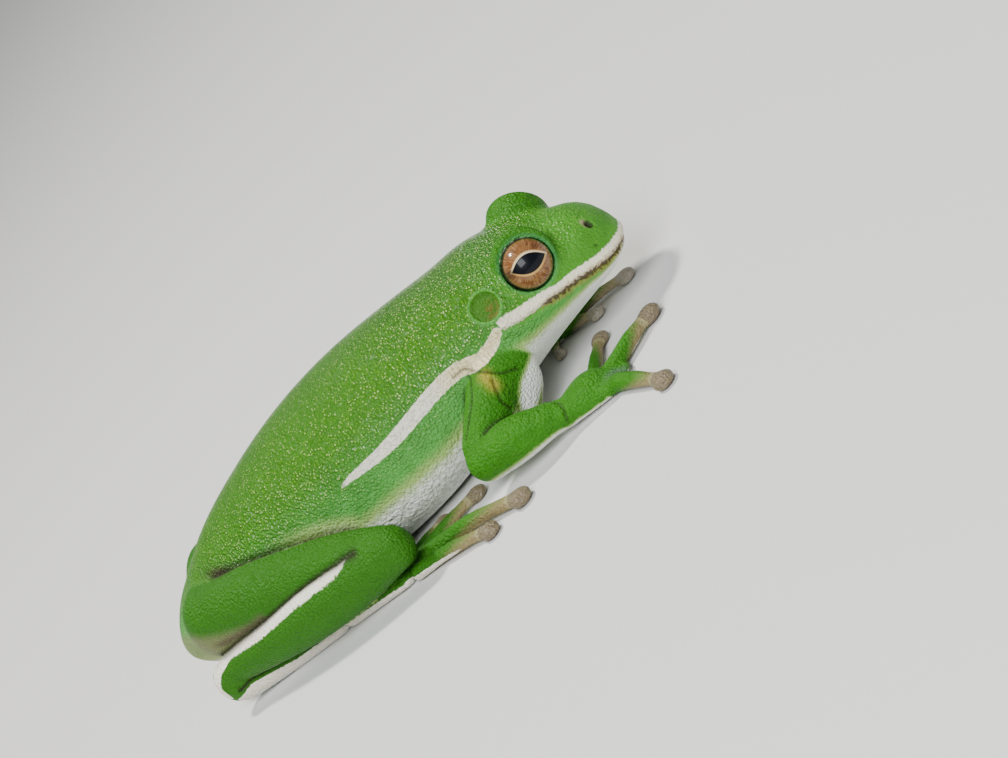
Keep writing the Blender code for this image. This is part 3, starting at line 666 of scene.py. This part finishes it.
# Stripes
# Cream bands of pigment run along the lip, over the shoulder and down the flank, and along
# the shank and the outer edge of the foot. A band is a line of x, distance from the midline,
# z and half width, and the skin's points are measured inwards from its edge.
LIP_TOP = ((15.8, 9.5), (17.3, 9.45), (18.5, 8.95), (20.3, 8.4), (21.4, 8.0), (22.0, 7.6), (23.8, 7.1),
           (25.2, 6.5), (27.1, 5.8), (28.0, 5.5), (28.4, 5.4))
LIP_STRIPE_REAR = 16.55
LIP_SOFTNESS = 0.55
FLANK_STRIPE = (
    (16.0, 7.8, 8.85, 0.45), (15.2, 7.9, 8.5, 0.55), (14.3, 8.0, 8.3, 0.62), (13.4, 8.3, 8.3, 0.66),
    (12.4, 8.3, 8.7, 0.7), (11.3, 8.2, 9.1, 0.7), (10.1, 8.3, 9.3, 0.7), (8.0, 8.6, 9.35, 0.7),
    (5.8, 8.9, 9.25, 0.68), (3.0, 9.2, 9.15, 0.62), (0.6, 9.3, 9.25, 0.5), (-2.0, 9.1, 9.5, 0.3),
    (-3.9, 9.1, 9.5, 0.04),
)
SHANK_STRIPE_WIDTH = (
    (-24.0, 1.2), (-18.0, 1.15), (-12.0, 1.0), (-9.0, 0.75), (-7.2, 0.35), (-6.2, -0.2), (0.0, -2.0),
)
HEEL_STRIPE = (
    (-21.0, 8.1, 5.75, 0.5), (-22.3, 7.5, 5.6, 0.65), (-25.0, 6.9, 5.0, 0.58), (-26.3, 7.0, 3.9, 0.5),
    (-26.3, 7.4, 2.6, 0.4),
)
FOOT_BAND = (
    (-25.5, 7.3, 1.5, 0.5), (-24.1, 7.4, 1.3, 0.8), (-18.5, 8.8, 0.6, 0.6), (-13.4, 10.5, 0.5, 0.6),
    (-8.0, 12.5, 0.5, 0.45), (-3.9, 13.9, 0.5, 0.35), (0.8, 16.4, 0.5, 0.3), (4.0, 18.6, 0.4, 0.25),
)
OUTSIDE = -5.0


def stripe_inside(path):
    """How far inside a stripe of changing width the skin's points are, and how far along it."""
    path = np.array(path)
    away, place = path_distance(mirrored, path)
    return np.interp(place, run_along(path), path[:, 3]) - away, place


lip_inside = np.minimum(np.minimum(read_at(LIP_TOP, x) - z, from_mouth), 2.0 * (x - LIP_STRIPE_REAR))
lip_inside = LIP_SOFTNESS * np.where((x > 15.6) & (off_trunk < 0.5), lip_inside, OUTSIDE)
flank_inside, flank_along = stripe_inside(FLANK_STRIPE)
heel_inside, _ = stripe_inside(HEEL_STRIPE)
foot_inside, _ = stripe_inside(FOOT_BAND)
past_thigh = seam(places, "thigh", "shank", 2.0)
shank_inside = np.maximum(0.6 * (read_at(SHANK_STRIPE_WIDTH, x) - past_thigh), heel_inside)
shank_inside = np.minimum(0.8 * past_thigh - 0.03, shank_inside)
cream = np.max([lip_inside, flank_inside, shank_inside, foot_inside], axis=0)
on_flank_stripe = ramp(-0.1, 0.1, flank_inside)
gold = ramp(9.0, 5.0, flank_along) * on_flank_stripe
ribbed = (0.6 + 1.2 * gold) * on_flank_stripe
gold = np.maximum(gold, 0.35 * ramp(-0.05, 0.05, lip_inside))
rosy = ramp(-0.1, 0.1, foot_inside)

# White underside
# The belly, chest and throat and the undersides of the limbs are white skin, with coarse
# grains on the trunk. The white starts at a level along the body and fades into the green.
BELLY_LEVEL = ((-28, 3.5), (-20, 4.0), (-8, 4.6), (0, 4.0), (5, 3.5), (10, 3.8), (15, 4.8))
THROAT_DEPTH = ((16, 4.4), (20, 3.0), (24, 1.6), (27, 0.95), (28.3, 0.8))
WHITE_CHEST = ((16.4, 7.6, 3.9), (14.6, 8.5, 3.6), (13.2, 8.9, 3.2))
THROAT_FROM = 14.0
THROAT_TO = 17.0

thigh_away = kind_distance(places, "thigh")
trunk_pale = ramp(3.6, -1.0, z - read_at(BELLY_LEVEL, x))
trunk_pale = np.maximum(trunk_pale, 0.55 * ramp(2.2, 0.2, thigh_away) * ramp(-16.0, -6.0, x))
head_pale = ramp(-0.15, -0.95, (z - mouth_z) / read_at(THROAT_DEPTH, x))
head_share = np.clip((x - THROAT_FROM) / (THROAT_TO - THROAT_FROM), 0.0, 1.0)
pale = trunk_pale + (head_pale - trunk_pale) * head_share
facing_down = ramp(0.3, 0.85, -skin_out[:, 2])
shank_side = off_trunk * ramp(1.5, -1.0, x) * ramp(1.0, 1.6, z)
pale = np.maximum(pale * (1 - off_trunk), facing_down * (1 - shank_side))
chest_away, _ = path_distance(mirrored, WHITE_CHEST)
pale = np.maximum(pale, ramp(1.9, 0.6, chest_away))
# coarse grains of the underside, which also get painted shade between them
coarse_grain_and_shade = ramp(14.5, 12.0, x) * (1 - off_trunk)

# Small marks
# A purple-brown crease with painted shade runs between rump and thigh, with a brown patch round
# the vent, and painted shade lies on the trunk beside the thigh and in the near hand's web. The
# armpit is amber, the nostril has a pink rim, a few dark dots mark the face, and fingers, toes and
# their discs turn brown; those of the far hand are painted lighter to lift their shade.
ARMPIT = ((12.9, 9.6, 7.6), (13.0, 10.4, 6.6))
NOSTRIL_RIM = ((26.75, 2.25, 8.4), (26.85, 2.4, 8.15))
FACE_DOTS = ((27.5, -2.5, 6.5), (26.4, -3.9, 6.8), (24.6, -4.4, 9.0))
EAR_SPOT = (17.2, 7.35, 10.25)
VENT_PATCH = ((-27.4, 1.0, 6.0), (-26.0, 4.0, 6.4), (-24.0, 6.3, 6.9), (-22.0, 7.5, 6.6),
              (-19.5, 8.9, 6.5), (-17.0, 10.0, 6.6))
VENT_PATCH_WIDTH = ((0.0, 2.0), (6.0, 1.7), (9.0, 1.0), (13.0, 0.2))
WEB_SHADE = (22.0, -14.7, 1.1)
WEB_OVAL = (1.3, 1.0, 1.0)

# painted shade on the trunk just beside the thigh
beside_thigh = (1 - off_trunk) * ramp(-19.0, -17.0, x) * ramp(-1.5, -3.5, x)
shade_and_dots = np.maximum(shade_and_dots, 0.6 * mound(thigh_away - 0.3, 0.28) * beside_thigh)
# a few small dark dots on the near side of the face
for dot in FACE_DOTS:
    shade_and_dots = np.maximum(shade_and_dots, ramp(0.2, 0.06, away_from(places, dot)))
groin_away, groin_along = path_distance(mirrored, GROIN_CREASE)
groin_crease = mound(groin_away, 0.6) * mound(groin_along - 2.9, 1.8)
vent_away, vent_along = path_distance(mirrored, VENT_PATCH)
vent = ramp(0.7, -0.7, vent_away - read_at(VENT_PATCH_WIDTH, vent_along))
# purple-brown tint with painted shade in the crease between rump and thigh
groin_tint_and_shade = np.maximum(groin_crease, 0.8 * mound(vent_away, 0.45) * ramp(6.5, 8.5, vent_along))
amber = mound(path_distance(mirrored, ARMPIT)[0], 0.6)
lid_edge = ramp(LID_RADIUS, 2.5, away_from(mirrored, EYE_CENTRE))
pink = mound(path_distance(mirrored, laid_on_skin(NOSTRIL_RIM))[0], 0.26)
ear_inside = EAR_RADIUS - ear_away
ear_brown = ramp(1.5, 0.2, away_from(mirrored, EAR_SPOT))
mouth_edge = 0.5 * ramp(19.0, 21.5, x) - np.abs(from_mouth - 0.05)
mouth_edge = np.where(from_mouth > 100, OUTSIDE, mouth_edge)
# painted shade in the web between the near hand's fingers
web = mound(away_from(places, WEB_SHADE, WEB_OVAL), 0.75)
# the far hand, whose fingers and discs are painted lighter to lift their shade
far_hand_lightening = ramp(-0.5, 0.5, y) * ramp(13.0, 14.0, x) * off_trunk
digit = np.zeros(len(places))
disc_inside = np.full(len(places), OUTSIDE)
for rows, shaft, centre, disc in digit_paths:
    away, place = path_distance(places, rows)
    from_centre = away_from(places, centre)
    reach = place / run_along(rows)[-1] + 0.3 * (0.6 - skin_out[:, 2])
    on_digit = (away < 1.7 * shaft) | (from_centre < 1.3 * disc)
    digit = np.where(on_digit, np.maximum(digit, reach), digit)
    disc_inside = np.maximum(disc_inside, 1.02 * disc - from_centre)
pale *= 1 - ramp(0.0, 0.3, digit)

# Grain, gloss and painted light
# The back is finely grained and wet, with pale specks and painted highlights on its grains that
# are strongest behind the head, and painted shade between the grains. The face and the ear drums
# are smoother, and the limbs are dull. The green turns bluer low on the flank, and is painted
# lighter there to lift its shade.
# the flank's green is bluer, and painted lighter to lift the shade on the flank
flank = ramp(12.4, 8.0, z) * (1 - off_trunk) + 0.35 * off_trunk
flank += (0.28 - flank) * ramp(16.0, 18.5, x) * ramp(mouth_z - 0.6, mouth_z, z)
off_ear = ramp(EAR_RADIUS - 0.1, EAR_RADIUS + 0.5, ear_away)
face = ramp(17.5, 20.0, x) * ramp(12.4, 10.5, z)
gloss_and_painted_glint = (1 - 0.88 * off_trunk) * ramp(6.0, 11.5, z) * (1 - 0.6 * face) * (0.05 + 0.95 * off_ear)
# painted highlights are weighted towards the neck, where the light falls on the back
gloss_and_painted_glint *= 0.3 + 0.45 * ramp(-24.0, -8.0, x) + 0.45 * ramp(-2.0, 12.0, x)
gloss_and_painted_glint *= 1 - groin_crease
# sets both the raised grains and the painted shade between them
grain_and_valley_shade = (0.35 + 0.65 * ramp(5.0, 11.0, z)) * (1 - 0.5 * face) * (1 - off_trunk)
grain_and_valley_shade = np.maximum(grain_and_valley_shade, 0.55 * off_trunk) * (0.3 + 0.7 * off_ear)

markings = {
    "cream": cream, "ribs": flank_along, "ribbed": ribbed, "gold": gold, "rosy": rosy,
    "pale": pale, "coarse_grain_and_shade": coarse_grain_and_shade, "shade_and_dots": shade_and_dots, "groin_tint_and_shade": groin_tint_and_shade, "vent": vent, "amber": amber,
    "lid_edge": lid_edge, "pink": pink, "ear": ear_inside, "ear_brown": ear_brown,
    "mouth_edge": mouth_edge, "web": web, "far_hand_lightening": far_hand_lightening, "digit": digit, "disc": disc_inside,
    "flank": flank, "limb": off_trunk, "gloss_and_painted_glint": gloss_and_painted_glint, "grain_and_valley_shade": grain_and_valley_shade,
}
for name, values in markings.items():
    layer = skin_mesh.attributes.new(name, "FLOAT", "POINT")
    layer.data.foreach_set("value", values.astype(np.float32))

# Skin colours
# The skin's colours lie over each other: greens with pale specks and painted highlights on the
# grains and painted shade between them, the white underside with painted shade between its coarse
# grains, brown fingers and toes, cream stripes, the ear drum and painted shade in the creases. Fine
# noise breaks up their edges, and rounded cells of two sizes raise the grains.
BACK_GREEN = (0.068, 0.275, 0.001)
# bluer green of the flank, painted lighter to lift its shade
LIGHTENED_FLANK_GREEN = (0.115, 0.440, 0.080)
LEG_GREEN = (0.018, 0.122, 0.0004)
ARM_GREEN = (0.029, 0.190, 0.0008)
CLOUDED_GREEN = (0.02, 0.11, 0.004)
# painted highlight: a paler green on the tops of the grains
GRAIN_HIGHLIGHT_GREEN = (0.26, 0.50, 0.02)
# pale specks of the skin, brightened into painted highlights
SPECK_AND_PAINTED_GLINT = (0.86, 0.92, 0.42)
# painted shade between the grains
VALLEY_SHADE_GREEN = (0.020, 0.105, 0.002)
PALE_GREEN = (0.36, 0.52, 0.15)
# the belly's white, and a greyer white painted as shade between its coarse grains
BELLY_WHITE_AND_SHADE = ((0.90, 0.92, 0.86), (0.70, 0.75, 0.66))
DIGIT_TANS = ((0.34, 0.30, 0.13), (0.19, 0.12, 0.06))
# tan painted lighter for the far hand's fingers, lifting their shade
LIGHTENED_TAN = (0.55, 0.46, 0.30)
DISC_BAND = (0.40, 0.40, 0.22)
DISC_BROWNS = ((0.26, 0.22, 0.13), (0.11, 0.075, 0.045))
# disc brown painted lighter for the far hand, lifting its shade
LIGHTENED_DISC = (0.50, 0.46, 0.38)
# painted shade for the near hand's web
WEB_SHADE_GREY = (0.10, 0.13, 0.12)
ARMPIT_AMBER = (0.50, 0.36, 0.05)
LID_GREEN = (0.10, 0.42, 0.20)
NOSTRIL_PINK = (0.60, 0.38, 0.32)
CREAMS = ((0.92, 0.89, 0.72), (0.86, 0.85, 0.72))
STRIPE_GOLD = (0.88, 0.76, 0.38)
FOOT_ROSE = (0.62, 0.52, 0.48)
LIP_BROWN = (0.26, 0.15, 0.05)
LIP_LINE = (0.035, 0.018, 0.008)
EAR_RIM_GREEN = (0.09, 0.34, 0.08)
EAR_GREEN = (0.033, 0.125, 0.003)
EAR_BROWN = (0.17, 0.10, 0.02)
VENT_TAN = (0.26, 0.23, 0.12)
# purple-brown tint, darkened as painted shade, for the groin crease
GROIN_PURPLE_SHADE = (0.05, 0.018, 0.022)
# painted shade for creases, seams and nostrils, also the colour of the face's dark dots
SHADE_AND_DOT_DARK = (0.02, 0.018, 0.008)
GRAIN_HEIGHT = 0.00026

skin_material = bpy.data.materials.new("skin")
skin_material.use_nodes = True
tree = skin_material.node_tree


def feed(socket, value):
    """A link or a plain value for one input of the material in hand."""
    if isinstance(value, bpy.types.NodeSocket):
        tree.links.new(value, socket)
    else:
        socket.default_value = value


def add_node(kind, settings=(), **inputs):
    """A node of the material in hand. An input goes by its name, or by n and its number."""
    made = tree.nodes.new(kind)
    for name, value in dict(settings).items():
        setattr(made, name, value)
    for name, value in inputs.items():
        numbered = name[0] == "n" and name[1:].isdigit()
        feed(made.inputs[int(name[1:]) if numbered else name], value)
    return made


def calc(operation, first, *others):
    """One operation on a value, or on several from left to right."""
    for other in others or (0.0,):
        first = add_node("ShaderNodeMath", {"operation": operation}, n0=first, n1=other).outputs[0]
    return first


def times(*values):
    """The product of values."""
    return calc("MULTIPLY", *values)


def plus(*values):
    """The sum of values."""
    return calc("ADD", *values)


def minus(*values):
    """The first value less the others."""
    return calc("SUBTRACT", *values)


def step(value, low, high):
    """A soft step from 0 at one value to 1 at another."""
    smooth = {"interpolation_type": "SMOOTHSTEP"}
    return add_node("ShaderNodeMapRange", smooth, n0=value, n1=low, n2=high).outputs[0]


def mix(share, first, second):
    """One colour mixed into another."""
    made = add_node("ShaderNodeMix", {"data_type": "RGBA"}, n0=share)
    for socket, value in ((made.inputs[6], first), (made.inputs[7], second)):
        feed(socket, value + (1.0,) if isinstance(value, tuple) else value)
    return made.outputs[2]


def tinted(base, tint, strength, *masks):
    """A colour laid over another where all the masks are."""
    return mix(times(*masks, strength), base, tint)


def scaled(vector, amount):
    """A vector made longer or shorter."""
    return add_node("ShaderNodeVectorMath", {"operation": "SCALE"}, n0=vector, Scale=amount).outputs[0]


def noise(vector, scale, detail, roughness=0.5):
    """A cloudy pattern, as a value and as a colour."""
    made = add_node("ShaderNodeTexNoise", Vector=vector, Scale=scale, Detail=detail, Roughness=roughness)
    return made.outputs


def rounded_cells(vector, scale, softness):
    """Cells like grains of skin, as the distance from their middles and as a colour each."""
    smooth = {"feature": "SMOOTH_F1"}
    made = add_node("ShaderNodeTexVoronoi", smooth, Vector=vector, Scale=scale, Smoothness=softness)
    return made.outputs


def marking(name):
    """One of the skin's markings."""
    return add_node("ShaderNodeAttribute", {"attribute_name": name}).outputs["Fac"]


in_mm = scaled(add_node("ShaderNodeTexCoord").outputs["Object"], 1 / MM)
noise_fine = noise(in_mm, 3.2, 3.0)[0]
noise_broad = noise(in_mm, 0.55, 4.0)[0]
wobble = scaled(noise(in_mm, 2.0, 1.0)[1], 0.2)
bent = add_node("ShaderNodeVectorMath", {"operation": "ADD"}, n0=in_mm, n1=wobble).outputs[0]
grains = rounded_cells(bent, 3.9, 0.15)
from_middle = grains["Distance"]
cell_value = add_node("ShaderNodeSeparateColor", n0=grains["Color"]).outputs[0]
from_big_middle = rounded_cells(bent, 1.9, 0.2)["Distance"]
grain_tops = step(from_middle, 0.45, 0.15)
along_body = add_node("ShaderNodeSeparateXYZ", n0=in_mm).outputs[0]


def ragged(value, amount, middle=0.5):
    """A marking's value with its edge broken up by the fine noise."""
    return plus(value, times(minus(noise_fine, middle), amount))


limb_green = mix(step(along_body, 0.0, 5.0), LEG_GREEN, ARM_GREEN)
green = mix(marking("flank"), BACK_GREEN, LIGHTENED_FLANK_GREEN)
green = mix(times(marking("limb"), 0.85), green, limb_green)
green = mix(step(noise_broad, 0.35, 0.65), mix(0.25, green, CLOUDED_GREEN), green)
# painted highlight on the tops of the wet grains
green = tinted(green, GRAIN_HIGHLIGHT_GREEN, 0.40, grain_tops, marking("gloss_and_painted_glint"))
# pale specks on some grains, painted as highlights that glint most behind the head
speck_and_glint_masks = (step(cell_value, 0.40, 0.62), step(from_middle, 0.32, 0.12))
green = tinted(green, SPECK_AND_PAINTED_GLINT, 0.8, *speck_and_glint_masks, marking("gloss_and_painted_glint"))
# painted shade in the hollows between the grains
green = tinted(green, VALLEY_SHADE_GREEN, 0.55, minus(1.0, grain_tops), marking("grain_and_valley_shade"))

# painted shade: a greyer white between the big grains of the belly
white = mix(times(marking("coarse_grain_and_shade"), step(from_big_middle, 0.25, 0.6)), *BELLY_WHITE_AND_SHADE)
pale_at = ragged(marking("pale"), 0.25)
colour = mix(step(pale_at, 0.08, 0.55), green, PALE_GREEN)
colour = mix(step(pale_at, 0.42, 0.9), colour, white)

# the far hand's fingers are painted lighter to lift their shade
tan = tinted(mix(noise_fine, *DIGIT_TANS), LIGHTENED_TAN, 0.8, marking("far_hand_lightening"))
colour = mix(step(ragged(marking("digit"), 0.30), 0.35, 0.9), colour, tan)
disc_at = marking("disc")
colour = tinted(colour, DISC_BAND, 0.4, step(disc_at, -0.55, -0.3), step(disc_at, 0.0, -0.12))
# the far hand's discs are painted lighter to lift their shade
disc_brown = tinted(mix(noise_fine, *DISC_BROWNS), LIGHTENED_DISC, 0.7, marking("far_hand_lightening"))
colour = mix(step(disc_at, -0.08, 0.02), colour, disc_brown)
# web: painted shade between the near hand's fingers
for name, tint, strength in (("web", WEB_SHADE_GREY, 0.75), ("amber", ARMPIT_AMBER, 0.6),
                             ("lid_edge", LID_GREEN, 0.25), ("pink", NOSTRIL_PINK, 0.8)):
    colour = tinted(colour, tint, strength, marking(name))

stripe_cream = mix(noise_broad, *CREAMS)
stripe_cream = tinted(stripe_cream, STRIPE_GOLD, 0.75, marking("gold"))
stripe_cream = tinted(stripe_cream, FOOT_ROSE, 0.5, marking("rosy"))
colour = mix(step(ragged(marking("cream"), 0.22), -0.04, 0.05), colour, stripe_cream)
edge_at = ragged(marking("mouth_edge"), 1.0, 0.6)
colour = tinted(colour, LIP_BROWN, 0.6, step(edge_at, -0.3, 0.14))
colour = tinted(colour, LIP_LINE, 0.85, step(edge_at, 0.08, 0.3))

ear_at = marking("ear")
ear_spot = (marking("ear_brown"), step(ear_at, -0.05, 0.1), step(noise_fine, 0.42, 0.6))
colour = tinted(colour, EAR_RIM_GREEN, 0.3, step(ear_at, -0.36, -0.24), step(ear_at, 0.0, -0.08))
colour = tinted(colour, EAR_GREEN, 0.9, step(ear_at, -0.04, 0.04))
colour = tinted(colour, EAR_BROWN, 0.6, *ear_spot)
# tan vent patch, purple-brown groin tint with painted shade, then painted shade in creases, seams and
# nostrils with the face's dark dots
for name, tint, strength in (("vent", VENT_TAN, 0.6), ("groin_tint_and_shade", GROIN_PURPLE_SHADE, 0.85),
                             ("shade_and_dots", SHADE_AND_DOT_DARK, 0.9)):
    colour = tinted(colour, tint, strength, marking(name))

ribs = calc("SINE", plus(times(marking("ribs"), 15.0), times(noise_fine, 5.0)))
height = plus(
    times(minus(1.0, from_middle), plus(times(marking("grain_and_valley_shade"), 0.9), 0.12)),
    times(minus(1.0, from_big_middle), marking("pale"), marking("coarse_grain_and_shade"), 0.8),
    times(ribs, marking("ribbed"), 0.13),
    times(noise_fine, 0.12),
)
bump = add_node("ShaderNodeBump", Strength=1.0, Distance=GRAIN_HEIGHT, Height=height).outputs[0]
wet = calc("MAXIMUM", marking("gloss_and_painted_glint"), marking("gold"), step(disc_at, -0.2, 0.0))
shader = tree.nodes["Principled BSDF"]
for name, value in (("Base Color", colour), ("Normal", bump), ("Subsurface Weight", 0.12),
                    ("Subsurface Scale", 0.0006), ("Subsurface Radius", (0.9, 1.0, 0.4)),
                    ("Coat Weight", times(wet, 0.4)), ("Coat Roughness", 0.14), ("Coat Normal", bump),
                    ("Specular IOR Level", 0.16),
                    ("Roughness", minus(0.55, times(marking("gloss_and_painted_glint"), 0.25)))):
    feed(shader.inputs[name], value)
skin_mesh.materials.append(skin_material)

# Eyes
# Each eye is a wet globe under a clear cornea. The copper iris has a pale gold ring round a
# black pupil that is pointed at both ends and slopes with the mouth, and a dark outer rim.
PUPIL_AXIS = np.array((0.929, 0.173, -0.327))
PUPIL_PLACE = (0.05, 0.03)
PUPIL_HALF = (0.71, 0.36)
COPPERS = ((0.17, 0.062, 0.016), (0.24, 0.115, 0.040))
LIGHT_FIBRE = (0.42, 0.23, 0.09)
DARK_FIBRE = (0.08, 0.03, 0.012)
SPECK_BROWN = (0.08, 0.03, 0.015)
RING_GOLDS = ((0.50, 0.30, 0.09), (0.74, 0.58, 0.33))
SMUDGE_BROWN = (0.05, 0.025, 0.012)
RIM_BLACK = (0.010, 0.007, 0.005)
PUPIL_BLACK = (0.002, 0.003, 0.006)

eye_material = bpy.data.materials.new("eye")
eye_material.use_nodes = True
tree = eye_material.node_tree
in_radii = scaled(add_node("ShaderNodeTexCoord").outputs["Object"], 1 / (EYE_RADIUS * MM))
parts = add_node("ShaderNodeSeparateXYZ", n0=in_radii).outputs
u, v = parts[0], parts[1]
radius = calc("SQRT", plus(times(u, u), times(v, v)))
u_share = calc("DIVIDE", minus(u, PUPIL_PLACE[0]), PUPIL_HALF[0])
v_share = calc("DIVIDE", calc("ABSOLUTE", minus(v, PUPIL_PLACE[1])), PUPIL_HALF[1])
in_pupil = minus(1.0, times(u_share, u_share), v_share)
turned = times(calc("ARCTAN2", v, u), 9.0)
polar = add_node("ShaderNodeCombineXYZ", n0=turned, n1=times(radius, 2.2)).outputs[0]
fibres = noise(polar, 1.6, 4.0, 0.65)[0]
clouds = noise(in_radii, 2.6, 2.0)[0]
specks = noise(in_radii, 17.0, 2.0)[0]
iris = mix(step(clouds, 0.35, 0.65), *COPPERS)
iris = mix(step(fibres, 0.5, 0.72), iris, LIGHT_FIBRE)
iris = tinted(iris, DARK_FIBRE, 0.85, step(fibres, 0.48, 0.36))
iris = tinted(iris, SPECK_BROWN, 0.7, step(specks, 0.64, 0.72))
iris = mix(step(in_pupil, -0.32, -0.14), iris, mix(step(v, -0.1, 0.15), *RING_GOLDS))
smudge = (step(u, -0.48, -0.68), step(calc("ABSOLUTE", v), 0.3, 0.06))
iris = tinted(iris, SMUDGE_BROWN, 0.75, *smudge)
rim_at = plus(radius, times(plus(u, v), -0.025))
iris = mix(step(rim_at, 0.89, 0.94), iris, RIM_BLACK)
pupil = step(in_pupil, -0.03, 0.03)
iris = mix(pupil, iris, PUPIL_BLACK)
shader = tree.nodes["Principled BSDF"]
for name, value in (("Base Color", iris), ("Roughness", 0.4), ("Specular IOR Level", 0.1),
                    ("Coat Weight", minus(1.0, times(pupil, 0.65))), ("Coat IOR", 1.36),
                    ("Coat Roughness", 0.03)):
    feed(shader.inputs[name], value)

for side, label in ((-1, "right"), (1, "left")):
    eye_mesh = bpy.data.meshes.new("eye_" + label)
    work = bmesh.new()
    bmesh.ops.create_uvsphere(work, u_segments=96, v_segments=48, radius=EYE_RADIUS * MM)
    work.to_mesh(eye_mesh)
    work.free()
    eye_mesh.shade_smooth()
    eye_mesh.materials.append(eye_material)
    eye = bpy.data.objects.new("eyeball_" + label, eye_mesh)
    outward = EYE_AXIS * (1, side, 1)
    level = PUPIL_AXIS * (1, -side, 1)
    level = level - outward * (level @ outward)
    level /= np.linalg.norm(level)
    upward = np.cross(outward, level)
    flip = 1.0 if upward[2] > 0 else -1.0
    eye.matrix_world = placed(level, flip * upward, flip * outward, EYE_CENTRE * (1, side, 1))
    bpy.context.scene.collection.objects.link(eye)
    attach(eye, "root")
    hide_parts("eye_" + label)

# Floor and light
# A plain pale board lies just under the frog. A small warm lamp high on the far side draws
# the glints and the soft shadow, and a broad one on the near side opens the shade.
FLOOR_HALF = 2.0
FLOOR_DROP = 0.00002
FLOOR_COLOUR = (0.72, 0.72, 0.70, 1.0)
SKY_COLOUR = (0.9, 0.95, 1.0, 1.0)
SKY_STRENGTH = 0.28
LAMPS = (
    # name, place and width in metres, power, colour
    ("key", (-0.08, 0.10, 0.38), 0.06, 1.8, (1.0, 0.97, 0.90)),
    ("fill", (0.02, -0.30, 0.26), 0.20, 1.9, (0.97, 0.98, 1.0)),
)

floor_mesh = bpy.data.meshes.new("floor")
signs = ((-1, -1), (1, -1), (1, 1), (-1, 1))
floor_mesh.from_pydata([(FLOOR_HALF * i, FLOOR_HALF * j, 0) for i, j in signs], [], [(0, 1, 2, 3)])
floor = bpy.data.objects.new("floor", floor_mesh)
bpy.context.scene.collection.objects.link(floor)
floor.location.z = -FLOOR_DROP
floor_material = bpy.data.materials.new("floor")
floor_material.use_nodes = True
shader = floor_material.node_tree.nodes["Principled BSDF"]
shader.inputs["Base Color"].default_value = FLOOR_COLOUR
shader.inputs["Roughness"].default_value = 0.8
floor_mesh.materials.append(floor_material)

world = bpy.data.worlds.new("studio")
world.use_nodes = True
sky = world.node_tree.nodes["Background"]
sky.inputs["Color"].default_value = SKY_COLOUR
sky.inputs["Strength"].default_value = SKY_STRENGTH
bpy.context.scene.world = world

for name, place, width, power, tint in LAMPS:
    lamp_data = bpy.data.lights.new(name, "AREA")
    lamp_data.size = width
    lamp_data.energy = power
    lamp_data.color = tint
    lamp = bpy.data.objects.new(name, lamp_data)
    lamp.location = place
    lamp.rotation_euler = (-Vector(place)).to_track_quat("-Z", "Y").to_euler()
    bpy.context.scene.collection.objects.link(lamp)
